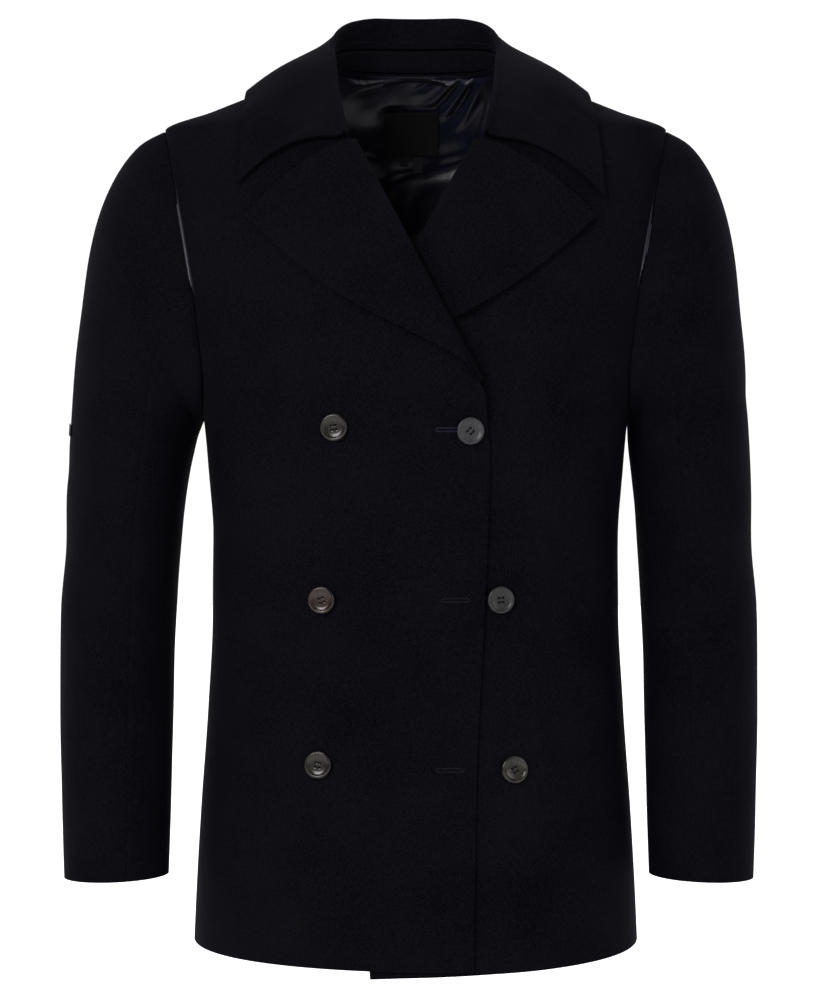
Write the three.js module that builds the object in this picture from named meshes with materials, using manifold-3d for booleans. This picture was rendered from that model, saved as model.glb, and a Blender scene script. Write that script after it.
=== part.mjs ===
// A double-breasted wool pea coat in its worn, hollow form.
// Millimetres, +Z up, the front towards -Y, the wearer's right towards -X.
// The origin is the middle of the neck base, where the wearer carries the coat.
import * as THREE from "three";
import { mergeVertices } from "three/addons/utils/BufferGeometryUtils.js";
import Module from "manifold-3d";

const wasm = await Module();
wasm.setup();

// Driving sizes
const wool = 2.4; // melton and its lining or facing
const satin = 1.0; // loose back lining
const seamGap = 0.3; // between pieces that are sewn together
const bodyMiddle = 5; // the body hangs this far to the wearer's left of the neck's middle
const bulge = 2.5; // roundness of the torso's sections, where 2 is an ellipse
const backHem = -740;
const sideHem = -733;
const breakHeight = -259; // where the lapels start to roll
const armpitHeight = -280;
const shoulderHeight = -28;
const neckHeight = 28;
const buttonWidth = 23;
const buttonHole = 2.1;

// Torso sections: height, half width, and depth from the side seams to the front and to the back
const torso = [
  { z: -760, wide: 195, front: 139, back: 128 },
  { z: -690, wide: 192, front: 136, back: 124 },
  { z: -620, wide: 188, front: 132, back: 118 },
  { z: -530, wide: 181.7, front: 127, back: 109 },
  { z: -450, wide: 178, front: 124, back: 104 },
  { z: -380, wide: 178, front: 126, back: 106 },
  { z: -320, wide: 182, front: 129, back: 112 },
  { z: -280, wide: 186, front: 130, back: 117 },
  { z: -250, wide: 194, front: 130, back: 120 },
  { z: -190, wide: 213, front: 127, back: 124 },
  { z: -130, wide: 219, front: 117, back: 124 },
  { z: -80, wide: 220.5, front: 101, back: 119 },
  { z: -50, wide: 221, front: 87, back: 113 },
  { z: -28, wide: 220, front: 72, back: 107 },
  { z: -12, wide: 180, front: 57, back: 100 },
  { z: 10, wide: 125, front: 34, back: 84 },
  { z: 28, wide: 75, front: 12, back: 66 },
  { z: 40, wide: 48, front: 5, back: 52 },
];

// Armhole: height and distance from the body's middle
const armhole = [
  { z: -280, x: 186 },
  { z: -265, x: 184 },
  { z: -245, x: 183.5 },
  { z: -190, x: 188.5 },
  { z: -130, x: 198.5 },
  { z: -80, x: 208.5 },
  { z: -50, x: 214.5 },
  { z: -28, x: 220 },
];

// Sleeve rings from the armhole to the cuff, each a slanted oval between an outer and an inner point,
// with its half depth, its middle towards the front or back, and how far it leans from the body's middle
const sleeveRings = [
  { at: 0, outerX: 220, outerZ: -28, innerX: 186.6, innerZ: -280, half: 72, middle: 4, lean: 0 },
  { at: 1, outerX: 240, outerZ: -39, innerX: 187.3, innerZ: -285, half: 77, middle: 4, lean: -0.6 },
  { at: 2, outerX: 259, outerZ: -62, innerX: 188.2, innerZ: -290, half: 80, middle: 4, lean: -1.4 },
  { at: 3, outerX: 275, outerZ: -99, innerX: 189.4, innerZ: -297, half: 80, middle: 3, lean: -2.6 },
  { at: 4, outerX: 286, outerZ: -148, innerX: 191, innerZ: -308, half: 77, middle: 2, lean: -3.6 },
  { at: 5, outerX: 293, outerZ: -210, innerX: 194, innerZ: -328, half: 73, middle: 0, lean: -4.6 },
  { at: 6, outerX: 297.5, outerZ: -290, innerX: 198, innerZ: -368, half: 68, middle: -3, lean: -5.4 },
  { at: 7, outerX: 302, outerZ: -372, innerX: 202.5, innerZ: -428, half: 63, middle: -8, lean: -6 },
  { at: 8, outerX: 304.5, outerZ: -455, innerX: 204.5, innerZ: -492, half: 60, middle: -14, lean: -6 },
  { at: 9, outerX: 304, outerZ: -535, innerX: 206, innerZ: -558, half: 57, middle: -21, lean: -6 },
  { at: 10, outerX: 302, outerZ: -608, innerX: 207, innerZ: -617, half: 54, middle: -28, lean: -6 },
  { at: 11, outerX: 299, outerZ: -678, innerX: 208.5, innerZ: -675, half: 51, middle: -34, lean: -6 },
];

// Front edge of the wearer's right front, which laps on top, and of the left front beneath it
const rightEdge = [
  { z: -760, x: 48 },
  { z: -580, x: 51 },
  { z: -440, x: 58 },
  { z: -320, x: 62 },
  { z: -259, x: 58 },
];
const leftEdge = [
  { z: -760, x: -38 },
  { z: -575, x: -50 },
  { z: -434, x: -61 },
  { z: -320, x: -76 },
  { z: -259, x: -68 },
];

// The two fronts: side of the body, edge, hem at the edge, reach of the collar's and lapel's outer points
const fronts = {
  right: { side: -1, edge: rightEdge, hem: -745, spread: 0.97, under: false },
  left: { side: 1, edge: leftEdge, hem: -750, spread: 1.03, under: true },
};
const rollNeck = { x: 66, z: -23 }; // the roll line passes here, then runs up to the neck point
const gorge = { x: 60, z: -46 }; // where the lapel ends and the collar starts

// Lapel: its outer edge from the break to the tip, as shares along the roll line and real places
const lapelEdge = [
  { at: 0.05, x: -50, z: -241 },
  { at: 0.2, x: -29, z: -226 },
  { at: 0.4, x: 14, z: -205 },
  { at: 0.6, x: 62, z: -180 },
  { at: 0.8, x: 108, z: -147 },
  { at: 1, x: 148, z: -110 },
];
const lapelTopRise = 9; // the top edge bows up between the gorge and the tip

// Collar from the centre back to its front end: the neck seam, the roll and the outer edge
const collar = [
  { at: 0, neckX: 0, neckY: 66, neckZ: 31, rollX: 0, rollY: 73, rollZ: 79, edgeX: 0, edgeY: 101 },
  { at: 1, neckX: 32, neckY: 61, neckZ: 31, rollX: 31, rollY: 69, rollZ: 79, edgeX: 48, edgeY: 99 },
  { at: 2, neckX: 58, neckY: 45, neckZ: 31, rollX: 55, rollY: 55, rollZ: 74, edgeX: 96, edgeY: 90 },
  { at: 3, neckX: 72, neckY: 22, neckZ: 30, rollX: 67, rollY: 32, rollZ: 62, edgeX: 130, edgeY: 68 },
  { at: 4, neckX: 75, neckY: 0, neckZ: 29, rollX: 71, rollY: 7, rollZ: 47, edgeX: 144, edgeY: 10 },
  { at: 5, neckX: 72, neckY: -24, neckZ: 15, rollX: 69, rollY: -20, rollZ: 30, edgeX: 150, edgeY: -46 },
  { at: 6, neckX: 68, neckY: -42, neckZ: 0, rollX: 67, rollY: -46, rollZ: 9, edgeX: 152, edgeY: -69 },
  { at: 7, neckX: 64, neckY: -58, neckZ: -15, rollX: 63, rollY: -67, rollZ: -12, edgeX: 153, edgeY: -79 },
  { at: 8, neckX: 58, neckY: -78, neckZ: -38, rollX: 57, rollY: -87, rollZ: -38, edgeX: 155, edgeY: -84 },
];
const collarRoll = 4.6; // radius of the fold at the collar's top
const leafClear = wool + 3.4; // its face above the torso's cloth

// Soft folds in the body, each a trough from one point to another on one face, seen from the front
const bodyFolds = [
  { face: -1, fromX: -30, fromZ: -285, toX: 40, toZ: -330, width: 18, depth: 3 },
  { face: -1, fromX: -178, fromZ: -225, toX: -92, toZ: -286, width: 22, depth: 6 },
  { face: -1, fromX: 178, fromZ: -205, toX: 95, toZ: -290, width: 22, depth: 6 },
  { face: -1, fromX: -150, fromZ: -330, toX: -95, toZ: -470, width: 30, depth: 4 },
  { face: -1, fromX: 150, fromZ: -340, toX: 120, toZ: -520, width: 30, depth: 4 },
  { face: 1, fromX: -165, fromZ: -190, toX: -70, toZ: -330, width: 26, depth: 6 },
  { face: 1, fromX: 165, fromZ: -200, toX: 60, toZ: -350, width: 26, depth: 6 },
  { face: 1, fromX: -90, fromZ: -440, toX: 80, toZ: -470, width: 26, depth: 4 },
];

// Soft folds in a sleeve: place along it, direction round it from the outer point, reach and depth
const sleeveFolds = [
  { at: 3.1, turn: -95, length: 0.8, reach: 50, depth: 5 },
  { at: 4.3, turn: -60, length: 0.55, reach: 60, depth: 4 },
  { at: 4.6, turn: 80, length: 0.6, reach: 60, depth: 5 },
  { at: 6.2, turn: -130, length: 0.5, reach: 70, depth: 5 },
  { at: 7.1, turn: -30, length: 0.45, reach: 55, depth: 3.5 },
  { at: 7.6, turn: 130, length: 0.5, reach: 65, depth: 4 },
  { at: 9.4, turn: -80, length: 0.5, reach: 50, depth: 3 },
];

// Buttons: place on the front, lift of the back off the curved cloth, and whether the under front carries it
const buttonPlaces = [
  { name: "button_outer_top", x: -68.5, z: -289, lift: -0.1, under: false },
  { name: "button_outer_middle", x: -79, z: -434, lift: 0.9, under: false },
  { name: "button_outer_bottom", x: -81.5, z: -572, lift: 0.9, under: false },
  { name: "button_inner_top", x: 45.5, z: -292, lift: -0.1, under: false },
  { name: "button_inner_middle", x: 71.5, z: -434, lift: 0.9, under: true },
  { name: "button_inner_bottom", x: 82.5, z: -576, lift: 0.9, under: true },
];

// Small helpers
const mix = (a, b, k) => a + (b - a) * k;
const clamp = (v) => Math.min(1, Math.max(0, v));
const smooth = (v) => clamp(v) ** 2 * (3 - 2 * clamp(v));
const quarter = Math.PI / 2;
const vector = (x, y, z) => new THREE.Vector3(x, y, z);

// Reads a table's column at a place, on a smooth curve through its rows that never overshoots
function column(table, key, name) {
  const at = table.map((row) => row[key]);
  const value = table.map((row) => row[name]);
  const slope = at.slice(1).map((a, i) => (value[i + 1] - value[i]) / (a - at[i]));
  const last = at.length - 1;
  const tangent = value.map((_, i) => {
    if (i === 0) return slope[0];
    if (i === last) return slope[last - 1];
    const both = slope[i - 1] * slope[i];
    return both > 0 ? (2 * both) / (slope[i - 1] + slope[i]) : 0;
  });
  return (where) => {
    const w = Math.min(at[last], Math.max(at[0], where));
    const i = Math.min(last - 1, Math.max(0, at.findIndex((a) => a >= w) - 1));
    const h = at[i + 1] - at[i];
    const k = (w - at[i]) / h;
    const start = (1 + 2 * k) * (1 - k) ** 2 * value[i] + k * (1 - k) ** 2 * h * tangent[i];
    return start + k * k * (3 - 2 * k) * value[i + 1] + k * k * (k - 1) * h * tangent[i + 1];
  };
}
const columns = (table, key, names) => Object.fromEntries(names.map((n) => [n, column(table, key, n)]));

// Torso surface, where face is -1 in front and 1 at the back, and x is from the body's middle
const section = columns(torso, "z", ["wide", "front", "back"]);
const armholeX = column(armhole, "z", "x");
const depthAt = (z, face) => (face < 0 ? section.front(z) : section.back(z));
const angleOf = (x, z) => {
  const share = Math.min(1, Math.abs(x) / section.wide(z));
  return Math.sign(x) * Math.asin(share ** (bulge / 2));
};

function foldAt(x, z, face) {
  let depth = 0;
  for (const f of bodyFolds) {
    if (f.face !== face) continue;
    const run = Math.hypot(f.toX - f.fromX, f.toZ - f.fromZ);
    const along = ((x - f.fromX) * (f.toX - f.fromX) + (z - f.fromZ) * (f.toZ - f.fromZ)) / run;
    const across = ((x - f.fromX) * (f.toZ - f.fromZ) - (z - f.fromZ) * (f.toX - f.fromX)) / run;
    const ends = smooth(along / (run * 0.35)) * smooth((run - along) / (run * 0.35));
    depth += f.depth * ends * Math.exp(-((across / f.width) ** 2));
  }
  return depth;
}

function outward(x, y, z, face) {
  const step = 0.5;
  const w = section.wide(z);
  const d = depthAt(z, face);
  const wSlope = (section.wide(z + step) - section.wide(z - step)) / (2 * step);
  const dSlope = (depthAt(z + step, face) - depthAt(z - step, face)) / (2 * step);
  const nx = (Math.sign(x) * Math.abs(x) ** (bulge - 1)) / w ** bulge;
  const ny = (face * Math.abs(y) ** (bulge - 1)) / d ** bulge;
  const nz = -((Math.abs(x) / w) ** bulge * wSlope) / w - ((Math.abs(y) / d) ** bulge * dSlope) / d;
  return vector(nx, ny, nz).normalize();
}

// A point on the torso at an angle from the middle of the face, lifted off the cloth
function bodyPoint(angle, z, face, lift = 0) {
  const x = section.wide(z) * Math.sign(Math.sin(angle)) * Math.abs(Math.sin(angle)) ** (2 / bulge);
  const y = face * depthAt(z, face) * Math.max(0, Math.cos(angle)) ** (2 / bulge);
  const normal = outward(x, y, z, face);
  const point = vector(x + bodyMiddle, y, z).addScaledVector(normal, lift - foldAt(x, z, face));
  return { point, normal };
}
const bodyAt = (x, z, face, lift = 0) => bodyPoint(angleOf(x, z), z, face, lift);

// 1 on the torso's surface, less inside it and more outside
function level(p) {
  const x = (Math.abs(p.x) / section.wide(p.z)) ** bulge;
  const y = (Math.abs(p.y) / depthAt(p.z, p.y < 0 ? -1 : 1)) ** bulge;
  return (x + y) ** (1 / bulge);
}

// Height of the shoulders above a place
function roofHeight(x, y) {
  let low = -140;
  let high = 40;
  for (let i = 0; i < 24; i += 1) {
    const z = (low + high) / 2;
    if (level(vector(x, y, z)) < 1) low = z;
    else high = z;
  }
  return (low + high) / 2;
}

// Moves a point out until it clears the torso by a distance
function clearOfBody(p, clearance) {
  const here = vector(p.x - bodyMiddle, p.y, p.z);
  const normal = outward(here.x, p.y, p.z, p.y < 0 ? -1 : 1);
  const step = 0.5;
  const slope = (level(here.clone().addScaledVector(normal, step)) - level(here)) / step;
  const distance = (level(here) - 1) / slope;
  return p.addScaledVector(normal, Math.max(0, clearance - distance));
}

// Closed cloth wall from rows of outer points, with its thickness to the inside
function clothWall(rows, thickness, normals = null) {
  const height = rows.length;
  const width = rows[0].length;
  const pick = (r, c) => rows[Math.min(height - 1, Math.max(0, r))][Math.min(width - 1, Math.max(0, c))];
  const positions = [];
  const add = (p) => positions.push(p.x, p.y, p.z);
  rows.forEach((row) => row.forEach(add));
  rows.forEach((row, r) => row.forEach((p, c) => {
    const across = pick(r, c + 1).clone().sub(pick(r, c - 1));
    const along = pick(r + 1, c).clone().sub(pick(r - 1, c));
    const normal = normals ? normals[r][c] : across.cross(along).normalize();
    add(p.clone().addScaledVector(normal, -thickness));
  }));
  const inner = height * width;
  const index = [];
  const quad = (a, b, c, d) => index.push(a, b, c, a, c, d);
  for (let r = 0; r < height - 1; r += 1) {
    for (let c = 0; c < width - 1; c += 1) {
      const a = r * width + c;
      quad(a, a + 1, a + width + 1, a + width);
      quad(inner + a, inner + a + width, inner + a + width + 1, inner + a + 1);
    }
  }
  const rim = (a, b) => quad(b, a, inner + a, inner + b);
  for (let c = 0; c < width - 1; c += 1) {
    rim(c, c + 1);
    rim((height - 1) * width + c + 1, (height - 1) * width + c);
  }
  for (let r = 0; r < height - 1; r += 1) {
    rim((r + 1) * width, r * width);
    rim(r * width + width - 1, (r + 1) * width + width - 1);
  }
  const geometry = new THREE.BufferGeometry();
  geometry.setAttribute("position", new THREE.Float32BufferAttribute(positions, 3));
  geometry.setIndex(index);
  return facingOut(geometry);
}

// Turns a closed geometry's faces outwards
function facingOut(geometry) {
  const p = geometry.getAttribute("position");
  const index = geometry.getIndex().array;
  const corner = [vector(0, 0, 0), vector(0, 0, 0), vector(0, 0, 0)];
  let volume = 0;
  for (let i = 0; i < index.length; i += 3) {
    corner.forEach((v, k) => v.fromBufferAttribute(p, index[i + k]));
    volume += corner[0].dot(corner[1].clone().cross(corner[2])) / 6;
  }
  if (volume < 0) {
    for (let i = 0; i < index.length; i += 3) {
      [index[i + 1], index[i + 2]] = [index[i + 2], index[i + 1]];
    }
  }
  geometry.computeVertexNormals();
  return geometry;
}

// Draws the outline of a wall in by half a seam's gap, so that sewn pieces never share a face
function trimmed(rows, gap = seamGap * 0.6) {
  const toward = (from, to) => {
    const d = to.clone().sub(from);
    return from.clone().addScaledVector(d, Math.min(0.3, gap / Math.max(d.length(), 0.01)));
  };
  const sides = rows.map((row) => {
    const out = row.slice();
    out[0] = toward(row[0], row[1]);
    out[row.length - 1] = toward(row[row.length - 1], row[row.length - 2]);
    return out;
  });
  const first = sides[0].map((p, c) => toward(p, sides[1][c]));
  const end = sides.length - 1;
  const final = sides[end].map((p, c) => toward(p, sides[end - 1][c]));
  return [first, ...sides.slice(1, end), final];
}

// The roll line of a front, from the break to the neck point, and the edge below it
function frontEdge(front) {
  const below = column(front.edge, "z", "x");
  const turn = below(breakHeight);
  const rollX = (z) => {
    const k = (z - breakHeight) / (rollNeck.z - breakHeight);
    const up = (z - rollNeck.z) / (neckHeight - rollNeck.z);
    const roll = front.side * rollNeck.x;
    return k < 1 ? mix(turn, roll, k) : mix(roll, front.side * section.wide(neckHeight), up);
  };
  return (z) => (z < breakHeight ? below(z) : rollX(z));
}
const topEdge = frontEdge(fronts.right);

const lapelLayer = 9.8; // room for the under front's lapel beneath the top front

// How far the under front sinks below the torso's surface to lie beneath the top front
function underLayer(x, z) {
  const beyond = (x - topEdge(z)) * Math.cos(z > breakHeight ? 0.5 : 0);
  const deep = mix(3.3, lapelLayer, smooth((z + 300) / 40));
  return deep * (1 - smooth((beyond - 9) / 44));
}

const lowerRows = 12;
const upperRows = 10;
const frontColumns = 12;
const backColumns = 20;

function frontPanel(front) {
  const edge = frontEdge(front);
  const rows = [];
  const normals = [];
  const put = (angle, z, row, normalRow) => {
    const flat = section.wide(z) * Math.sign(angle) * Math.abs(Math.sin(angle)) ** (2 / bulge);
    const { point, normal } = bodyPoint(angle, z, -1, front.under ? -underLayer(flat, z) : 0);
    row.push(point);
    normalRow.push(normal);
  };
  for (let r = 0; r <= lowerRows + upperRows; r += 1) {
    const k = r / lowerRows;
    const up = (r - lowerRows) / upperRows;
    const row = [];
    const normalRow = [];
    for (let c = 0; c <= frontColumns; c += 1) {
      const s = c / frontColumns;
      if (r <= lowerRows) {
        const z = mix(mix(front.hem, sideHem, s), mix(breakHeight, armpitHeight, s), k);
        put(mix(angleOf(edge(z), z), front.side * quarter, s), z, row, normalRow);
        continue;
      }
      const rise = (1 - Math.cos(Math.PI * up)) / 2;
      const edgeZ = mix(breakHeight, neckHeight, rise);
      const holeZ = mix(armpitHeight, shoulderHeight, rise);
      const holeAngle = front.side * angleOf(armholeX(holeZ), holeZ);
      const start = angleOf(edge(breakHeight), breakHeight);
      const plain = mix(mix(start, front.side * quarter, s), front.side * quarter, up);
      const atEdge = angleOf(edge(edgeZ), edgeZ) - mix(start, front.side * quarter, up);
      const atHole = holeAngle - front.side * quarter;
      const z = mix(mix(breakHeight, armpitHeight, s), mix(neckHeight, shoulderHeight, s), rise);
      put(plain + (1 - s) ** 2 * atEdge + s * s * atHole, z, row, normalRow);
    }
    rows.push(row);
    normals.push(normalRow);
  }
  return clothWall(trimmed(rows), wool, normals);
}

const neckShare = 0.36; // share of the back's half width that ends at the neckline

// Points and normals of the back, sunk below its outer surface by an inset
function backGrid(inset) {
  const rows = [];
  const normals = [];
  const top = (s) => ({
    angle: s < neckShare ? (quarter * s) / neckShare : quarter,
    z: s < neckShare ? neckHeight + 3 : mix(neckHeight + 3, shoulderHeight, (s - neckShare) / (1 - neckShare)),
  });
  for (let r = 0; r <= lowerRows + upperRows; r += 1) {
    const k = r / lowerRows;
    const up = (r - lowerRows) / upperRows;
    const row = [];
    const normalRow = [];
    for (let c = 0; c <= backColumns; c += 1) {
      const signed = (2 * c) / backColumns - 1;
      const s = Math.abs(signed);
      let angle = quarter * s;
      let z = mix(mix(backHem, sideHem, s), armpitHeight, k);
      if (r > lowerRows) {
        const rise = (1 - Math.cos(Math.PI * up)) / 2;
        const holeZ = mix(armpitHeight, shoulderHeight, rise);
        const atHole = angleOf(armholeX(holeZ), holeZ) - quarter;
        angle = mix(quarter * s, top(s).angle, up) + s * s * atHole;
        z = mix(armpitHeight, top(s).z, rise);
      }
      const { point, normal } = bodyPoint(Math.sign(signed) * angle, z, 1, -inset);
      row.push(point);
      normalRow.push(normal);
    }
    rows.push(row);
    normals.push(normalRow);
  }
  return { rows, normals };
}

function backPanel() {
  const { rows, normals } = backGrid(0);
  return clothWall(trimmed(rows), wool, normals);
}

// Loose lining on the inside of the upper back, from the neck and shoulder seams down
const liningSides = 2; // columns of the back that it leaves bare at each side
const liningTop = 1; // rows that it leaves bare at the neck
const liningHemRow = 10;
const liningDepth = wool + 0.5;

function backLining() {
  const { rows, normals } = backGrid(liningDepth);
  const part = (grid) => grid.slice(liningHemRow, grid.length - liningTop)
    .map((row) => row.slice(liningSides, row.length - liningSides));
  return clothWall(part(rows), satin, part(normals));
}

// Sleeve rings as functions of the place along the sleeve
const ring = columns(sleeveRings, "at", ["outerX", "outerZ", "innerX", "innerZ", "half", "middle", "lean"]);
const lastRing = sleeveRings.length - 1;
const sleeveColumns = 2 * upperRows;
const sleeveRowCount = 22;
const armholeGap = 1;

function armholePoint(turn) {
  const z = mix(armpitHeight, shoulderHeight, (1 + Math.cos(turn)) / 2);
  const x = armholeX(z);
  const face = Math.sin(turn) > 0 ? 1 : -1;
  const share = 1 - Math.min(1, x / section.wide(z)) ** bulge;
  return vector(x + armholeGap, face * depthAt(z, face) * Math.max(0, share) ** (1 / bulge), z);
}

function sleeveFoldAt(at, turn) {
  let depth = 0;
  for (const f of sleeveFolds) {
    const round = (((turn * 180) / Math.PI - f.turn + 540) % 360) - 180;
    const drop = at - f.at - round * 0.006;
    depth += f.depth * Math.exp(-((round / f.reach) ** 2) - (drop / f.length) ** 2);
  }
  return depth;
}

function sleevePoint(at, turn, side) {
  const oval = (where) => {
    const across = Math.cos(turn);
    const x = mix(ring.innerX(where), ring.outerX(where), (1 + across) / 2);
    const z = mix(ring.innerZ(where), ring.outerZ(where), (1 + across) / 2);
    return vector(x, ring.middle(where) + ring.half(where) * Math.sin(turn), z);
  };
  const fit = armholePoint(turn).sub(oval(0)).multiplyScalar(1 - smooth(at / 2.5));
  const p = oval(at).add(fit);
  const centre = vector(
    mix(ring.innerX(at), ring.outerX(at), 0.5),
    ring.middle(at),
    mix(ring.innerZ(at), ring.outerZ(at), 0.5),
  );
  const calm = smooth((at - 0.8) / 1.5) * smooth((lastRing - at) / 0.6);
  const inward = centre.sub(p).normalize();
  p.addScaledVector(inward, sleeveFoldAt(at, turn) * calm * smooth((1.3 + Math.cos(turn)) / 0.8));
  return vector(side * p.x + bodyMiddle + ring.lean(at), p.y, p.z);
}

// Whole rings of a sleeve, with normals that both of its pieces share at their seams
function sleeveGrid(side) {
  const rows = [];
  for (let r = 0; r <= sleeveRowCount; r += 1) {
    const at = (lastRing * r) / sleeveRowCount;
    rows.push(Array.from({ length: sleeveColumns }, (_, c) => (
      sleevePoint(at, (2 * Math.PI * c) / sleeveColumns, side))));
  }
  const normals = rows.map((row, r) => row.map((_, c) => {
    const next = row[(c + 1) % sleeveColumns];
    const round = next.clone().sub(row[(c + sleeveColumns - 1) % sleeveColumns]);
    const above = rows[Math.max(0, r - 1)][c];
    const along = rows[Math.min(sleeveRowCount, r + 1)][c].clone().sub(above);
    return along.cross(round).multiplyScalar(side).normalize();
  }));
  return { rows, normals };
}

function sleevePanel({ rows, normals }, fromColumn, toColumn) {
  const part = (grid) => grid.map((row) => {
    const count = toColumn - fromColumn + 1;
    return Array.from({ length: count }, (_, i) => row[(fromColumn + i + sleeveColumns) % sleeveColumns]);
  });
  return clothWall(trimmed(part(rows)), wool, part(normals));
}

// Lapel, folded back at the roll line to lie on its front
const lapelRows = 11;
const lapelShares = [0.16, 0.34, 0.56, 0.78, 1];
const lapelStart = 0.05;
const rampReach = 8; // the lapel rides over the start of the slope below it

function lapel(front) {
  const edge = frontEdge(front);
  const outer = columns(lapelEdge, "at", ["x", "z"]);
  const layer = (x, z) => (front.under ? Math.min(underLayer(x, z), underLayer(x + rampReach, z + rampReach)) : 0);
  const covered = (x, z) => clamp(layer(x, z) / lapelLayer);
  const rows = [];
  const normals = [];
  for (let r = 0; r <= lapelRows; r += 1) {
    const t = mix(lapelStart, 1, r / lapelRows);
    const rollZ = mix(breakHeight, gorge.z, t);
    const rollX = edge(rollZ);
    const mirrored = outer.x(t) * (front.under && outer.x(t) < 0 ? 1.1 : front.spread);
    const tipX = front.side * mirrored;
    const tipZ = outer.z(t);
    const row = [];
    const normalRow = [];
    const rollRun = vector(edge(rollZ + 1) - rollX, 0, 1);
    const put = (x, z, lift, lean = 0) => {
      const { point, normal } = bodyAt(x, z, -1, lift - layer(x, z));
      const away = rollRun.clone().cross(normal).normalize().multiplyScalar(-front.side);
      row.push(point);
      normalRow.push(normal.multiplyScalar(1 - lean).addScaledVector(away, lean).normalize());
    };
    const round = 1 - covered(rollX, rollZ);
    put(rollX - front.side * 3.3, rollZ, -wool, 1);
    put(rollX - front.side * 3.8, rollZ, 1.4, 0.6);
    put(rollX - front.side * 1.2, rollZ, mix(3, 5.6, round), 0.15);
    for (const share of lapelShares) {
      const bow = lapelTopRise * smooth((t - 0.8) / 0.2) * 4 * share * (1 - share);
      const x = mix(rollX + front.side * 2, tipX, share);
      const z = mix(rollZ, tipZ, share) + bow;
      const hidden = covered(x, z);
      const crown = (1 - share) ** 2 * 3.2 * (1 - hidden) + Math.sin(Math.PI * share) * 1.2 * (1 - hidden);
      put(x, z, wool + 2.3 + crown + 8.5 * hidden * (1 - hidden));
    }
    rows.push(row);
    normals.push(normalRow);
  }
  return clothWall(rows, wool, normals);
}

// Collar stations along one half, read as smooth columns
const station = columns(collar, "at", [
  "neckX", "neckY", "neckZ", "rollX", "rollY", "rollZ", "edgeX", "edgeY",
]);
const lastStation = collar.length - 1;
const standEnd = 4.5;
const standShare = 0.46; // of the way from the neck seam to the roll
const stationOf = (signed) => {
  const at = Math.abs(signed);
  const side = signed < 0 ? -1 : 1;
  const spread = side < 0 ? fronts.right.spread : fronts.left.spread;
  const neck = vector(side * station.neckX(at) + bodyMiddle, station.neckY(at), station.neckZ(at));
  const roll = vector(side * station.rollX(at) + bodyMiddle, station.rollY(at), station.rollZ(at));
  const edgeX = side * station.edgeX(at) * mix(1, spread, smooth((at - 3) / 4));
  const edgeY = station.edgeY(at);
  const edge = vector(edgeX + bodyMiddle, edgeY, roofHeight(edgeX, edgeY));
  return { at, neck, roll, edge };
};

function collarStand() {
  const rows = [];
  const steps = 20;
  for (let i = 0; i <= steps; i += 1) {
    const { neck, roll } = stationOf(mix(-standEnd, standEnd, i / steps));
    rows.push([0.06, 0.5, 0.97].map((k) => neck.clone().lerp(roll, k * standShare)));
  }
  return clothWall(rows, -wool);
}

// The leaf rises from the stand's seam to the roll, folds over and falls to its outer edge
function collarLeaf() {
  const rows = [];
  const steps = 28;
  for (let i = 0; i <= steps; i += 1) {
    const { at, neck, roll, edge } = stationOf(mix(-lastStation, lastStation, i / steps));
    const rise = mix(standShare + 0.02, 0.12, smooth((at - standEnd - 0.2) / 0.5));
    clearOfBody(edge, leafClear);
    const out = vector(edge.x - roll.x, edge.y - roll.y, 0).normalize();
    const foldTop = roll.clone().addScaledVector(out, collarRoll).add(vector(0, 0, collarRoll * 0.6));
    const foldOut = roll.clone().addScaledVector(out, collarRoll * 2).add(vector(0, 0, -collarRoll * 0.4));
    const bow = (k) => Math.sin(Math.PI * k) * mix(6, 3, smooth((at - 4) / 3));
    const endBow = smooth((at - 7) / 1) * 9;
    const row = [neck.clone().lerp(roll, rise), roll.clone(), foldTop, foldOut];
    for (const k of [0.25, 0.5, 0.75, 1]) {
      const p = foldOut.clone().lerp(edge, k).add(vector(0, 0, bow(k) + endBow * 4 * k * (1 - k)));
      p.add(vector(out.x, out.y, 0).multiplyScalar(bow(k) * 0.5));
      row.push(clearOfBody(p, leafClear));
    }
    rows.push(row);
  }
  return clothWall(rows, -wool);
}

// A closed three.js geometry as a solid that can be cut
function solid(geometry) {
  const bare = geometry.clone();
  bare.deleteAttribute("normal");
  bare.deleteAttribute("uv");
  const merged = mergeVertices(bare, 1e-4);
  return new wasm.Manifold(new wasm.Mesh({
    numProp: 3,
    vertProperties: Float32Array.from(merged.getAttribute("position").array),
    triVerts: Uint32Array.from(merged.getIndex().array),
  }));
}

// Round button with a raised rim, a dished middle and four holes, its back at z = 0
const buttonProfile = [
  [0, 0], [0.4, 0], [0.485, 0.045], [0.5, 0.1], [0.47, 0.165], [0.41, 0.175], [0.33, 0.115], [0, 0.11],
];
const buttonSides = 20;
const holeSides = 6;
const holeRing = 0.115; // distance of the holes from the middle, in button widths

function buttonGeometry() {
  const profile = buttonProfile.map(([r, h]) => new THREE.Vector2(r * buttonWidth, h * buttonWidth));
  const disc = new THREE.LatheGeometry(profile, buttonSides).rotateX(quarter);
  let body = solid(facingOut(mergeVertices(stripped(disc), 1e-4)));
  for (let i = 0; i < 4; i += 1) {
    const turn = quarter * (i + 0.5);
    const drill = new THREE.CylinderGeometry(buttonHole / 2, buttonHole / 2, buttonWidth, holeSides);
    drill.rotateX(quarter);
    drill.translate(Math.cos(turn) * holeRing * buttonWidth, Math.sin(turn) * holeRing * buttonWidth, 0);
    body = body.subtract(solid(drill));
  }
  const mesh = body.getMesh();
  const geometry = new THREE.BufferGeometry();
  geometry.setAttribute("position", new THREE.Float32BufferAttribute(Array.from(mesh.vertProperties), 3));
  geometry.setIndex(Array.from(mesh.triVerts));
  geometry.computeVertexNormals();
  return geometry;
}

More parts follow.
